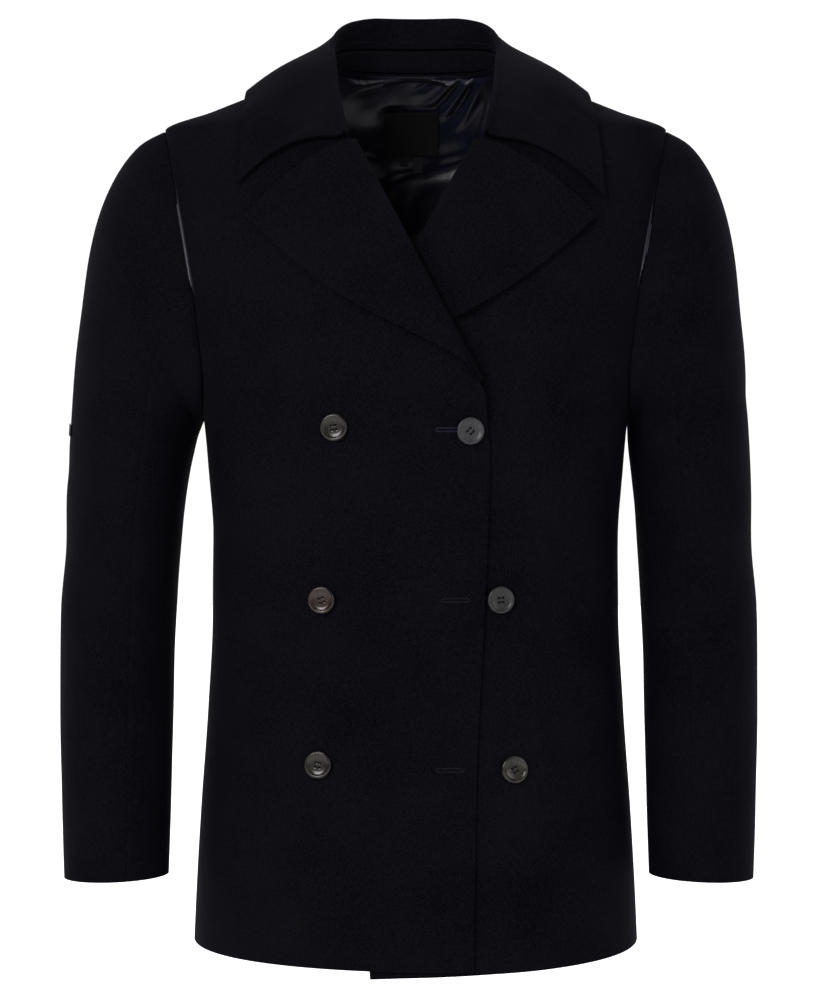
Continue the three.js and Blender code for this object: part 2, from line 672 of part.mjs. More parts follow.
function stripped(geometry) {
  const bare = geometry.clone();
  bare.deleteAttribute("normal");
  bare.deleteAttribute("uv");
  return bare;
}

// Neck label and size tabs, flat patches that follow the back lining
function liningPatch(x, topZ, width, height, gap) {
  const rows = [];
  const normals = [];
  for (let r = 0; r <= 2; r += 1) {
    const row = [];
    const normalRow = [];
    for (let c = 0; c <= 4; c += 1) {
      const lift = -liningDepth - satin - gap;
      const { point, normal } = bodyAt(x + width * (c / 4 - 0.5), topZ - height * (r / 2), 1, lift);
      row.push(point);
      normalRow.push(normal);
    }
    rows.push(row);
    normals.push(normalRow);
  }
  return clothWall(rows, patchCloth, normals);
}
const patchCloth = 0.9;
const labelGap = 3.4; // the lining's facets lie a little inside its true curve
const tabGap = 1.3;

// Hanger loop sewn to the neck seam at both ends
const loopHalf = 29;
const loopRise = 5;
const loopWide = 3;
const loopThick = 1.6;

function hangerLoop() {
  const ends = bodyAt(loopHalf, neckHeight - 2, 1, -wool - satin - loopThick - 2.6).point;
  const middle = bodyAt(0, neckHeight - 2, 1, -wool - satin - loopThick - 4.6).point;
  const path = new THREE.CatmullRomCurve3([
    vector(bodyMiddle - loopHalf, ends.y, ends.z),
    vector(bodyMiddle - loopHalf * 0.6, middle.y - 1, ends.z + loopRise * 0.6),
    vector(bodyMiddle, middle.y, ends.z + loopRise),
    vector(bodyMiddle + loopHalf * 0.6, middle.y - 1, ends.z + loopRise * 0.6),
    vector(bodyMiddle + loopHalf, ends.y, ends.z),
  ]);
  const strip = new THREE.Shape();
  strip.moveTo(-loopThick / 2, -loopWide / 2);
  strip.lineTo(loopThick / 2, -loopWide / 2);
  strip.lineTo(loopThick / 2, loopWide / 2);
  strip.lineTo(-loopThick / 2, loopWide / 2);
  const tube = new THREE.ExtrudeGeometry(strip, { steps: 12, extrudePath: path });
  return facingOut(mergeVertices(stripped(tube), 1e-4));
}

// Small plain tab in the right sleeve's outer side
const tabAt = 6.0;
const tabTurn = -0.25;
const tabSize = { wide: 13, tall: 9, thick: 1 };

function sleeveTab() {
  const here = sleevePoint(tabAt, tabTurn, -1);
  const along = sleevePoint(tabAt + 0.1, tabTurn, -1).sub(here).normalize();
  const round = sleevePoint(tabAt, tabTurn - 0.1, -1).sub(here).normalize();
  const normal = along.clone().cross(round).normalize();
  if (normal.x > 0) normal.negate();
  const tab = new THREE.BoxGeometry(tabSize.wide, tabSize.tall, tabSize.thick);
  const turn = new THREE.Matrix4().makeBasis(normal.clone().cross(along).negate(), along.clone().negate(), normal);
  const centre = here.addScaledVector(normal, tabSize.thick / 2 + 3.8);
  return { tab, turn, centre };
}

// Finishes
const finish = (color, roughness, metalness = 0) => new THREE.MeshStandardMaterial({ color, roughness, metalness });
const melton = () => finish(0x0d0d14, 0.95);
const lining = () => finish(0x0c0e1c, 0.35);
const woven = () => finish(0x08080a, 0.7);
const horn = () => finish(0x17120f, 0.3);

const coat = new THREE.Group();
function piece(name, geometry, material) {
  const mesh = new THREE.Mesh(geometry, material);
  mesh.name = name;
  coat.add(mesh);
  return mesh;
}

// Body, collar and lapels
piece("front_right", frontPanel(fronts.right), melton());
piece("front_left", frontPanel(fronts.left), melton());
piece("back", backPanel(), melton());
piece("lapel_right", lapel(fronts.right), melton());
piece("lapel_left", lapel(fronts.left), melton());
piece("collar_stand", collarStand(), melton());
piece("collar_leaf", collarLeaf(), melton());

// Two-piece sleeves: the top sleeve round the outside and the under sleeve against the body
const topReach = 6;
for (const [name, side] of [["right", -1], ["left", 1]]) {
  const grid = sleeveGrid(side);
  piece(`top_sleeve_${name}`, sleevePanel(grid, -topReach, topReach), melton());
  piece(`under_sleeve_${name}`, sleevePanel(grid, topReach, sleeveColumns - topReach), melton());
}
const { tab, turn, centre } = sleeveTab();
const tabMesh = piece("sleeve_tab", tab, woven());
tabMesh.position.copy(centre);
tabMesh.setRotationFromMatrix(turn);

// Inside the neck
piece("back_lining", backLining(), lining());
piece("hanger_loop", hangerLoop(), melton());
piece("neck_label", liningPatch(-3.5, 2.5, 49, 40, labelGap), woven());
piece("size_tab_right", liningPatch(-10.5, -39, 8, 9, tabGap), woven());
piece("size_tab_left", liningPatch(2.5, -42, 9, 11, tabGap), woven());

// Buttons, their backs just off the cloth
for (const { name, x, z, lift, under } of buttonPlaces) {
  const { point, normal } = bodyAt(x, z, -1, lift - (under ? underLayer(x, z) : 0));
  const mesh = piece(name, buttonGeometry(), horn());
  mesh.position.copy(point);
  mesh.quaternion.setFromUnitVectors(vector(0, 0, 1), normal);
}

export default coat;
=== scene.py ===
import math
from bisect import bisect_left

import bpy
import bmesh
from mathutils import Matrix, Vector


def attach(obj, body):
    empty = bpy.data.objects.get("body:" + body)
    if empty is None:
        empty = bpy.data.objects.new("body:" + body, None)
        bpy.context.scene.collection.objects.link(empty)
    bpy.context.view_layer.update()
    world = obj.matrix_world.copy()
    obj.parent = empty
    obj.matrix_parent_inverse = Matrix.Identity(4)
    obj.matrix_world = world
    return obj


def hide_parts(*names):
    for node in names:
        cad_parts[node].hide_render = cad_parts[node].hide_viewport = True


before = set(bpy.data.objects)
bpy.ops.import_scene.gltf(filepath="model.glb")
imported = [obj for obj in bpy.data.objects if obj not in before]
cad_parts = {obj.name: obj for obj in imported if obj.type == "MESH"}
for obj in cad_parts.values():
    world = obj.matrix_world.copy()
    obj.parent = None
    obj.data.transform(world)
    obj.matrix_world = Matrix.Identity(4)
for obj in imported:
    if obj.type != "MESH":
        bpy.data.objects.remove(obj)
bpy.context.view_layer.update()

# The coat's sizes, in millimetres from the neck base; x is from the body's middle

coat = {
    "wool": 2.4,           # melton with its lining or facing
    "satin": 1.0,          # loose back lining
    "bodyMiddle": 5.0,     # the body hangs this far to the wearer's left
    "bulge": 2.5,          # roundness of the torso's sections
    "backHem": -740.0,
    "sideHem": -733.0,
    "breakHeight": -259.0,
    "armpitHeight": -280.0,
    "shoulderHeight": -28.0,
    "neckHeight": 28.0,
    "seamDip": 0.6,        # how far the cloth turns in at a seam
    "seamReach": 2.3,
    "tuck": 0.14,          # how far the sleeve's cloth runs on under the body's at the armhole
}

torso = [  # height, half width, depth to the front and to the back
    (-760, 195, 139, 128), (-690, 192, 136, 124), (-620, 188, 132, 118), (-530, 181.7, 127, 109),
    (-450, 178, 124, 104), (-380, 178, 126, 106), (-320, 182, 129, 112), (-280, 186, 130, 117),
    (-250, 194, 130, 120), (-190, 213, 127, 124), (-130, 219, 117, 124), (-80, 220.5, 101, 119),
    (-50, 221, 87, 113), (-28, 220, 72, 107), (-12, 180, 57, 100), (10, 125, 34, 84),
    (28, 75, 12, 66), (40, 48, 5, 52),
]
armhole = [  # height, distance from the middle
    (-280, 186), (-265, 184), (-245, 183.5), (-190, 188.5), (-130, 198.5), (-80, 208.5), (-50, 214.5), (-28, 220),
]
sleeveRings = [  # place, outer x and z, inner x and z, half depth, middle, lean
    (0, 220, -28, 186.6, -280, 72, 4, 0), (1, 240, -39, 187.3, -285, 77, 4, -0.6),
    (2, 259, -62, 188.2, -290, 80, 4, -1.4), (3, 275, -99, 189.4, -297, 80, 3, -2.6),
    (4, 286, -148, 191, -308, 77, 2, -3.6), (5, 293, -210, 194, -328, 73, 0, -4.6),
    (6, 297.5, -290, 198, -368, 68, -3, -5.4), (7, 302, -372, 202.5, -428, 63, -8, -6),
    (8, 304.5, -455, 204.5, -492, 60, -14, -6), (9, 304, -535, 206, -558, 57, -21, -6),
    (10, 302, -608, 207, -617, 54, -28, -6), (11, 299, -678, 208.5, -675, 51, -34, -6),
]
fronts = {
    "right": {
        "side": -1, "hem": -745, "spread": 0.97, "under": False,
        "edge": [(-760, 48), (-580, 51), (-440, 58), (-320, 62), (-259, 58)],
    },
    "left": {
        "side": 1, "hem": -750, "spread": 1.03, "under": True,
        "edge": [(-760, -38), (-575, -50), (-434, -61), (-320, -76), (-259, -68)],
    },
}
rollNeck = (66, -23)
gorge = -46.0            # height where the lapel ends and the collar starts
lapelEdge = [  # share along the roll line, x and z of the outer edge
    (0.05, -50, -241), (0.2, -29, -226), (0.4, 14, -205), (0.6, 62, -180), (0.8, 108, -147), (1, 148, -110),
]
collarTable = [  # place, neck seam, roll, outer edge
    (0, 0, 66, 31, 0, 73, 79, 0, 101), (1, 32, 61, 31, 31, 69, 79, 48, 99), (2, 58, 45, 31, 55, 55, 74, 96, 90),
    (3, 72, 22, 30, 67, 32, 62, 130, 68), (4, 75, 0, 29, 71, 7, 47, 144, 10), (5, 72, -24, 15, 69, -20, 30, 150, -46),
    (6, 68, -42, 0, 67, -46, 9, 152, -69), (7, 64, -58, -15, 63, -67, -12, 153, -79),
    (8, 58, -78, -38, 57, -87, -38, 155, -84),
]

# Soft folds: face (-1 front, 1 back), start, end, width, depth; a minus depth is a ridge
bodyFolds = [
    (-1, -30, -285, 40, -330, 18, 3), (-1, -178, -225, -92, -286, 22, 6), (-1, 178, -205, 95, -290, 22, 6),
    (-1, -150, -330, -95, -470, 30, 4), (-1, 150, -340, 120, -520, 30, 4), (1, -165, -190, -70, -330, 26, 6),
    (1, 165, -200, 60, -350, 26, 6), (1, -90, -440, 80, -470, 26, 4),
]
bodyCreases = [  # the smaller creases and drag lines between them
    (-1, -52, -262, 22, -318, 9, -1.6), (-1, -70, -300, -8, -345, 12, 1.4), (-1, -165, -262, -104, -312, 10, 1.8),
    (-1, -176, -246, -120, -284, 7, -1.5), (-1, 172, -238, 118, -300, 9, 2.0), (-1, 160, -262, 92, -322, 11, -1.6),
    (-1, 174, -300, 140, -352, 10, 1.5), (-1, -168, -360, -132, -452, 16, 1.8), (-1, -60, -350, -92, -560, 30, 1.6),
    (-1, -30, -380, -34, -610, 34, -1.8), (-1, 10, -460, 2, -700, 26, 1.2), (-1, -120, -500, -104, -716, 24, 1.6),
    (-1, -150, -560, -148, -730, 18, -1.4), (-1, 100, -420, 112, -640, 26, -1.6), (-1, 146, -520, 140, -724, 20, 1.6),
    (-1, 86, -600, 88, -745, 18, 1.2), (-1, 60, -318, 96, -420, 14, 1.2), (-1, 22, -288, 52, -276, 7, 1.0),
    (-1, 46, -432, 18, -452, 8, 0.7), (-1, 66, -575, 30, -600, 9, 0.7), (-1, -30, -700, 20, -726, 14, 0.9),
    (1, -150, -250, -96, -312, 12, 2.0), (1, 152, -262, 84, -330, 12, -1.8), (1, -40, -420, 46, -436, 12, 1.6),
    (1, -120, -400, -30, -424, 16, -1.4), (1, 20, -480, 120, -462, 14, 1.5), (1, -100, -520, -88, -700, 26, 1.8),
    (1, 96, -540, 104, -720, 24, 1.6), (1, 0, -520, 6, -720, 30, -1.8), (1, -30, -60, 40, -64, 10, 1.0),
    (1, -60, 0, 60, -2, 9, 0.8),
]
sleeveFolds = [  # place, turn in degrees from the outer side, length along, reach round, depth
    (3.1, -95, 0.8, 50, 5), (4.3, -60, 0.55, 60, 4), (4.6, 80, 0.6, 60, 5), (6.2, -130, 0.5, 70, 5),
    (7.1, -30, 0.45, 55, 3.5), (7.6, 130, 0.5, 65, 4), (9.4, -80, 0.5, 50, 3),
]
sleeveCreases = {  # the smaller ones, which differ from one sleeve to the other
    "right": [
        (2.2, -78, 0.22, 26, 1.7), (2.9, -60, 0.2, 32, -1.6), (3.7, -88, 0.2, 34, 1.8), (5.0, -104, 0.2, 34, -1.8),
        (5.6, -76, 0.22, 40, 1.8), (6.6, -96, 0.16, 30, -1.2), (7.8, -70, 0.24, 34, 1.5), (8.6, -100, 0.2, 36, -1.4),
        (10.1, -60, 0.22, 36, 1.2), (3.4, 96, 0.2, 34, 1.8), (5.4, 110, 0.2, 40, -1.8), (6.8, 84, 0.2, 34, 1.6),
        (8.8, 100, 0.22, 40, 1.4), (6.4, -10, 0.18, 30, 1.1),
    ],
    "left": [
        (2.0, -84, 0.2, 26, 1.6), (2.7, -66, 0.2, 30, -1.6), (3.3, -92, 0.2, 36, 1.9), (4.7, -70, 0.2, 40, -1.8),
        (5.3, -96, 0.22, 38, 2.2), (5.9, -62, 0.18, 34, -1.5), (6.6, -84, 0.2, 40, 2.1), (7.3, -100, 0.18, 36, -1.5),
        (8.2, -74, 0.22, 38, 1.7), (9.0, -96, 0.2, 34, -1.3), (3.8, 92, 0.2, 36, 1.8), (5.7, 104, 0.2, 40, -1.8),
        (7.2, 88, 0.2, 34, 1.6), (9.3, 110, 0.22, 40, 1.4), (5.6, -14, 0.18, 32, 1.3),
    ],
}


def mix(a, b, k):
    return a + (b - a) * k


def clamp(v):
    return min(1.0, max(0.0, v))


def smooth(v):
    v = clamp(v)
    return v * v * (3 - 2 * v)


def bump(v):
    return math.exp(-v * v)


def column(rows, which, key=0):  # reads a table on a smooth curve that never overshoots
    at = [row[key] for row in rows]
    value = [row[which] for row in rows]
    last = len(at) - 1
    slope = [(value[i + 1] - value[i]) / (at[i + 1] - at[i]) for i in range(last)]
    tangent = [slope[0]]
    for i in range(1, last):
        both = slope[i - 1] * slope[i]
        tangent.append(2 * both / (slope[i - 1] + slope[i]) if both > 0 else 0.0)
    tangent.append(slope[-1])

    def read(where):
        w = min(at[last], max(at[0], where))
        i = min(last - 1, max(0, bisect_left(at, w) - 1))
        h = at[i + 1] - at[i]
        k = (w - at[i]) / h
        start = (1 + 2 * k) * (1 - k) ** 2 * value[i] + k * (1 - k) ** 2 * h * tangent[i]
        return start + k * k * (3 - 2 * k) * value[i + 1] + k * k * (k - 1) * h * tangent[i + 1]

    return read


def columns(rows, count, first=1, key=0):
    return [column(rows, which, key) for which in range(first, first + count)]


wideAt, frontDepth, backDepth = columns(torso, 3)
armholeX = column(armhole, 1)
quarter = math.pi / 2


def depthAt(z, face):
    return frontDepth(z) if face < 0 else backDepth(z)


def angleOf(x, z):
    share = min(1.0, abs(x) / wideAt(z))
    return math.copysign(math.asin(share ** (coat["bulge"] / 2)), x)


def foldAt(table, x, z, face):
    depth = 0.0
    for side, fromX, fromZ, toX, toZ, width, deep in table:
        if side != face:
            continue
        runX, runZ = toX - fromX, toZ - fromZ
        run = math.hypot(runX, runZ)
        across = ((x - fromX) * runZ - (z - fromZ) * runX) / run
        if abs(across) > 3 * width:
            continue
        along = ((x - fromX) * runX + (z - fromZ) * runZ) / run
        ends = smooth(along / (run * 0.35)) * smooth((run - along) / (run * 0.35))
        depth += deep * ends * bump(across / width)
    return depth


def outward(x, y, z, face):  # the torso's normal, from its sections
    step, power = 0.5, coat["bulge"]
    w, d = wideAt(z), depthAt(z, face)
    wSlope = (wideAt(z + step) - wideAt(z - step)) / (2 * step)
    dSlope = (depthAt(z + step, face) - depthAt(z - step, face)) / (2 * step)
    nx = math.copysign(abs(x) ** (power - 1), x) / w ** power
    ny = face * abs(y) ** (power - 1) / d ** power
    nz = -((abs(x) / w) ** power * wSlope) / w - ((abs(y) / d) ** power * dSlope) / d
    return Vector((nx, ny, nz)).normalized()


def bodyPoint(angle, z, face, lift=0.0, creased=0.0):
    power = 2 / coat["bulge"]
    x = wideAt(z) * math.copysign(abs(math.sin(angle)) ** power, math.sin(angle))
    y = face * depthAt(z, face) * max(0.0, math.cos(angle)) ** power
    normal = outward(x, y, z, face)
    deep = foldAt(bodyFolds, x, z, face)
    if creased:
        deep += creased * foldAt(bodyCreases, x, z, face)
    return Vector((x + coat["bodyMiddle"], y, z)) + normal * (lift - deep), normal


def bodyAt(x, z, face, lift=0.0, creased=0.0):
    return bodyPoint(angleOf(x, z), z, face, lift, creased)


def level(x, y, z):  # 1 on the torso, less inside it
    power = coat["bulge"]
    return ((abs(x) / wideAt(z)) ** power + (abs(y) / depthAt(z, -1 if y < 0 else 1)) ** power) ** (1 / power)


def roofHeight(x, y):  # the shoulders above a place
    low, high = -140.0, 40.0
    for _ in range(24):
        z = (low + high) / 2
        if level(x, y, z) < 1:
            low = z
        else:
            high = z
    return (low + high) / 2


def clearOfBody(p, clearance):
    x, y, z = p.x - coat["bodyMiddle"], p.y, p.z
    normal = outward(x, y, z, -1 if y < 0 else 1)
    out = Vector((x, y, z)) + normal * 0.5
    here = level(x, y, z)
    slope = (level(out.x, out.y, out.z) - here) / 0.5
    return p + normal * max(0.0, clearance - (here - 1) / slope)


def frontEdge(front):
    below = column(front["edge"], 1)
    start = below(coat["breakHeight"])
    side = front["side"]

    def read(z):
        if z < coat["breakHeight"]:
            return below(z)
        k = (z - coat["breakHeight"]) / (rollNeck[1] - coat["breakHeight"])
        up = (z - rollNeck[1]) / (coat["neckHeight"] - rollNeck[1])
        roll = side * rollNeck[0]
        return mix(start, roll, k) if k < 1 else mix(roll, side * wideAt(coat["neckHeight"]), up)

    return read


topEdge = frontEdge(fronts["right"])
lapelLayer = 9.8


def underLayer(x, z):  # how far the under front sinks beneath the top one
    beyond = (x - topEdge(z)) * math.cos(0.5 if z > coat["breakHeight"] else 0)
    return mix(3.3, lapelLayer, smooth((z + 300) / 40)) * (1 - smooth((beyond - 9) / 44))


def seamDip(*distances):  # the cloth turns in where it is sewn
    return coat["seamDip"] * sum(bump(d / coat["seamReach"]) for d in distances)


lowerShare = 12 / 22


def rowHeights(hem, side, breaks, top, v, s):
    if v <= lowerShare:
        return mix(mix(hem, side, s), mix(breaks, coat["armpitHeight"], s), v / lowerShare), 0.0, 0.0
    up = ((v - lowerShare) / (1 - lowerShare)) ** 0.6
    rise = (1 - math.cos(math.pi * up)) / 2
    return mix(mix(breaks, coat["armpitHeight"], s), top, rise), up, rise


def frontPlace(front):
    edge = frontEdge(front)
    side = front["side"]
    start = angleOf(edge(coat["breakHeight"]), coat["breakHeight"])

    def place(u, v):
        s = u
        z, up, rise = rowHeights(front["hem"], coat["sideHem"], coat["breakHeight"],
                                 mix(coat["neckHeight"], coat["shoulderHeight"], s), v, s)
        if up == 0:
            angle = mix(angleOf(edge(z), z), side * quarter, s)
            width, seams = 260.0, [(1 - s) * 260, s * 260]
        else:
            edgeZ = mix(coat["breakHeight"], coat["neckHeight"], rise)
            holeZ = mix(coat["armpitHeight"], coat["shoulderHeight"], rise)
            plain = mix(mix(start, side * quarter, s), side * quarter, up)
            atEdge = angleOf(edge(edgeZ), edgeZ) - mix(start, side * quarter, up)
            atHole = side * angleOf(armholeX(holeZ), holeZ) - side * quarter
            angle = plain + (1 - s) ** 2 * atEdge + s * s * atHole
            width = mix(260, 160, up)
            seams = [(1 - s) * width, (1 - up) * 150, s * width]
        x = wideAt(z) * math.copysign(abs(math.sin(angle)) ** (2 / coat["bulge"]), angle)
        calm = smooth((1 - s) * width / 16) * smooth((1 - up) * 150 / 16)
        sunk = -underLayer(x, z) if front["under"] else 0.0
        return bodyPoint(angle, z, -1, sunk - seamDip(*seams), calm)[0]

    return place


neckShare = 0.36


def backPlace(inset=0.0, creased=1.0, seamed=True):
    topZ = coat["neckHeight"] + 3

    def place(u, v):
        signed = 2 * u - 1
        s = abs(signed)
        beyond = max(0.0, (s - neckShare) / (1 - neckShare))
        z, up, rise = rowHeights(coat["backHem"], coat["sideHem"], coat["armpitHeight"],
                                 mix(topZ, coat["shoulderHeight"], beyond), v, s)
        angle = quarter * s
        width = 290.0
        if up > 0:
            holeZ = mix(coat["armpitHeight"], coat["shoulderHeight"], rise)
            atHole = angleOf(armholeX(holeZ), holeZ) - quarter
            angle = mix(quarter * s, min(1.0, s / neckShare) * quarter, up) + s * s * atHole
            width = mix(290, 200, up)
        calm = creased * smooth((1 - s) * width / 16) * smooth((1 - up) * 150 / 16)
        dip = seamDip((1 - s) * width, (1 - up) * 150) if seamed else 0.0
        return bodyPoint(math.copysign(angle, signed), z, 1, -inset - dip, calm)[0]

    return place


ring = columns(sleeveRings, 7)
lastRing = 11


def armholePoint(turn):
    z = mix(coat["armpitHeight"], coat["shoulderHeight"], (1 + math.cos(turn)) / 2)
    x = armholeX(z)
    face = 1 if math.sin(turn) > 0 else -1
    share = max(0.0, 1 - min(1.0, x / wideAt(z)) ** coat["bulge"])
    return Vector((x + 0.3, face * depthAt(z, face) * share ** (1 / coat["bulge"]), z))


def sleeveFoldAt(table, at, turn):
    depth = 0.0
    for where, aim, length, reach, deep in table:
        around = (math.degrees(turn) - aim + 540) % 360 - 180
        drop = at - where - around * 0.006
        depth += deep * math.exp(-((around / reach) ** 2) - (drop / length) ** 2)
    return depth


def sleevePoint(at, turn, side, lift=0.0, creased=True):
    outerX, outerZ, innerX, innerZ, half, middle, lean = (read(at) for read in ring)
    share = (1 + math.cos(turn)) / 2
    p = Vector((mix(innerX, outerX, share), middle + half * math.sin(turn), mix(innerZ, outerZ, share)))
    if at < 2.5:
        first = [read(0) for read in ring]
        oval = Vector((mix(first[2], first[0], share), first[5] + first[4] * math.sin(turn), mix(first[3], first[1], share)))
        p += (armholePoint(turn) - oval) * (1 - smooth(at / 2.5))
    centre = Vector((mix(innerX, outerX, 0.5), middle, mix(innerZ, outerZ, 0.5)))
    calm = smooth((at - 0.8) / 1.5) * smooth((lastRing - at) / 0.6)
    deep = sleeveFoldAt(sleeveFolds, at, turn) * calm * smooth((1.3 + math.cos(turn)) / 0.8)
    if creased:
        name = "right" if side < 0 else "left"
        deep += sleeveFoldAt(sleeveCreases[name], at, turn) * smooth((at - 0.5) / 0.8) * smooth((lastRing - at) / 0.6)
    p += (centre - p).normalized() * (deep - lift)
    return Vector((side * p.x + coat["bodyMiddle"] + lean, p.y, p.z))


sleeveSeam = math.radians(108)


def sleevePlace(side, fromTurn, toTurn):
    def place(u, v):
        at = mix(lastRing, -coat["tuck"], v)
        turn = mix(fromTurn, toTurn, u)
        around = 68 * (toTurn - fromTurn)
        dip = seamDip(u * around, (1 - u) * around, max(0.0, at) * 62)
        if at >= 0:
            return sleevePoint(at, turn, side, -dip)
        under = -at / coat["tuck"]
        p = sleevePoint(0, turn, side, -dip - 3.2 * smooth(under * 1.6))
        return p - Vector((side * 7 * under, 0, 0))

    return place


def throughPoints(points, c):  # a smooth curve through a row of points, c from 0 to 1
    last = len(points) - 1
    i = min(last - 1, int(c * last))
    k = c * last - i
    a, b = points[i], points[i + 1]
    before = points[i - 1] if i else a * 2 - b
    after = points[i + 2] if i + 2 <= last else b * 2 - a
    return ((b - before) * 0.5 * (k - 2 * k * k + k ** 3) + (after - a) * 0.5 * (k ** 3 - k * k)
            + a * (1 - 3 * k * k + 2 * k ** 3) + b * (3 * k * k - 2 * k ** 3))


lapelX, lapelZ = columns(lapelEdge, 2)


def lapelPlace(front):
    edge = frontEdge(front)
    side, wool = front["side"], coat["wool"]

    def layer(x, z):
        return min(underLayer(x, z), underLayer(x + 8, z + 8)) if front["under"] else 0.0

    def place(u, v):
        t = mix(0.05, 1, v)
        rollZ = mix(coat["breakHeight"], gorge, t)
        rollX = edge(rollZ)
        outerX = lapelX(t)
        tipX = side * outerX * (1.1 if front["under"] and outerX < 0 else front["spread"])
        tipZ = lapelZ(t)
        row = []

        def put(x, z, lift):
            row.append(bodyAt(x, z, -1, lift - layer(x, z))[0])

        bare = 1 - clamp(layer(rollX, rollZ) / lapelLayer)
        put(rollX - side * 3.3, rollZ, -wool)
        put(rollX - side * 3.8, rollZ, 1.4)
        put(rollX - side * 1.2, rollZ, mix(3, 5.6, bare))
        for share in (0.16, 0.34, 0.56, 0.78, 1):
            bow = 9 * smooth((t - 0.8) / 0.2) * 4 * share * (1 - share)
            x = mix(rollX + side * 2, tipX, share)
            z = mix(rollZ, tipZ, share) + bow
            hidden = clamp(layer(x, z) / lapelLayer)
            crown = (1 - share) ** 2 * 3.2 * (1 - hidden) + math.sin(math.pi * share) * 1.2 * (1 - hidden)
            put(x, z, wool + 2.3 + crown + 8.5 * hidden * (1 - hidden))
        return throughPoints(row, u)

    return place


collarReaders = columns(collarTable, 8)
evenColumns = {1, 2, 4, 5, 7}  # these run level across the centre back


def collarStation(signed):
    at = abs(signed)
    side = -1 if signed < 0 else 1
    value = []
    for i, read in enumerate(collarReaders):
        here = read(at)
        if i in evenColumns and at < 1:
            slope = read(0.01) - read(0)
            here -= slope * 100 * at * (1 - at) ** 2
        value.append(here)
    neckX, neckY, neckZ, rollX, rollY, rollZ, edgeX, edgeY = value
    spread = fronts["right" if side < 0 else "left"]["spread"]
    edgeX = side * edgeX * mix(1, spread, smooth((at - 3) / 4))
    middle = coat["bodyMiddle"]
    neck = Vector((side * neckX + middle, neckY, neckZ))
    roll = Vector((side * rollX + middle, rollY, rollZ))
    return at, neck, roll, Vector((edgeX + middle, edgeY, roofHeight(edgeX, edgeY)))


standShare = 0.46


def standPlace(u, v):
    at, neck, roll, edge = collarStation(mix(-4.5, 4.5, u))
    k = mix(0.06, 0.97, v)
    away = Vector((roll.x - coat["bodyMiddle"], roll.y, 0)).normalized()
    return neck.lerp(roll, k * standShare) + away * seamDip(v * 16, (1 - v) * 16)


def leafPlace(u, v):
    signed = mix(-8, 8, u)
    at, neck, roll, edge = collarStation(signed)
    rise = mix(standShare + 0.02, 0.12, smooth((at - 4.7) / 0.5))
    edge = clearOfBody(edge, coat["wool"] + 3.4)
    out = Vector((edge.x - roll.x, edge.y - roll.y, 0)).normalized()
    foldTop = roll + out * 4.6 + Vector((0, 0, 2.76))
    foldOut = roll + out * 9.2 - Vector((0, 0, 1.84))
    height = mix(6, 3, smooth((at - 4) / 3))
    endBow = smooth(at - 7) * 9
    row = [neck.lerp(roll, rise), roll, foldTop, foldOut]
    for k in (0.25, 0.5, 0.75, 1):
        bow = math.sin(math.pi * k) * height
        p = foldOut.lerp(edge, k) + Vector((0, 0, bow + endBow * 4 * k * (1 - k))) + out * bow * 0.5
        row.append(clearOfBody(p, coat["wool"] + 3.4))
    return throughPoints(row, v)


# Finishes

class Number:  # wraps a shader socket so that Python's operators add its Math nodes
    def __init__(self, finish, socket):
        self.finish, self.socket = finish, socket

    def using(self, operation, *values):
        return self.finish.node("ShaderNodeMath", {"operation": operation}, dict(enumerate(values)))

    def __add__(self, other):
        return self.using("ADD", self, other)

    def __sub__(self, other):
        return self.using("SUBTRACT", self, other)

    def __rsub__(self, other):
        return self.using("SUBTRACT", other, self)

    def __mul__(self, other):
        return self.using("MULTIPLY", self, other)

    def sine(self):
        return self.using("SINE", self)

    __radd__ = __add__
    __rmul__ = __mul__


class Finish:  # one material, or the sky, and its nodes
    def __init__(self, name, kind="materials"):
        self.material = getattr(bpy.data, kind).new(name)
        self.material.use_nodes = True
        self.tree = self.material.node_tree
        self.tree.nodes.clear()

    def node(self, kind, settings=None, values=None, output=0):
        made = self.tree.nodes.new(kind)
        for key, value in (settings or {}).items():
            if key == "stops":
                for place, shade in value[2:]:
                    made.color_ramp.elements.new(place)
                for element, (place, shade) in zip(made.color_ramp.elements, value):
                    element.position, element.color = place, (*shade, 1)
            else:
                setattr(made, key, value)
        for key, value in (values or {}).items():
            if isinstance(value, Number):
                self.tree.links.new(value.socket, made.inputs[key])
            else:
                made.inputs[key].default_value = value
        return None if output is None else Number(self, made.outputs[output])

    def place(self):
        return self.node("ShaderNodeTexCoord", output="Object")

    def cloth(self):  # across and along the cut cloth, in metres
        return self.node("ShaderNodeUVMap", {"uv_map": "cloth"})

    def stretched(self, vector, scale, turn=0.0):
        return self.node("ShaderNodeMapping", None, {0: vector, 2: (0, 0, turn), 3: scale})

    def noise(self, vector, scale, detail=2.0, roughness=0.5):
        return self.node("ShaderNodeTexNoise", None, {
            "Vector": vector, "Scale": scale, "Detail": detail, "Roughness": roughness})

    def blend(self, share, a, b):
        return self.node("ShaderNodeMix", {"data_type": "RGBA"}, {0: share, 6: (*a, 1), 7: (*b, 1)}, 2)

    def bumped(self, height, distance, strength=1.0):
        return self.node("ShaderNodeBump", None, {
            "Height": height, "Distance": distance, "Strength": strength})

    def surface(self, **values):
        named = {key.replace("_", " "): value for key, value in values.items()}
        shader = self.node("ShaderNodeBsdfPrincipled", None, named)
        self.node("ShaderNodeOutputMaterial", None, {"Surface": shader}, None)
        return self.material


melton = {
    "dark": (0.0017, 0.0017, 0.0028),
    "light": (0.0066, 0.0065, 0.0105),
    "napSize": 900.0,      # fibres to the metre
    "twill": 1400.0,
    "relief": 0.00035,
    "sheen": 0.014,
}


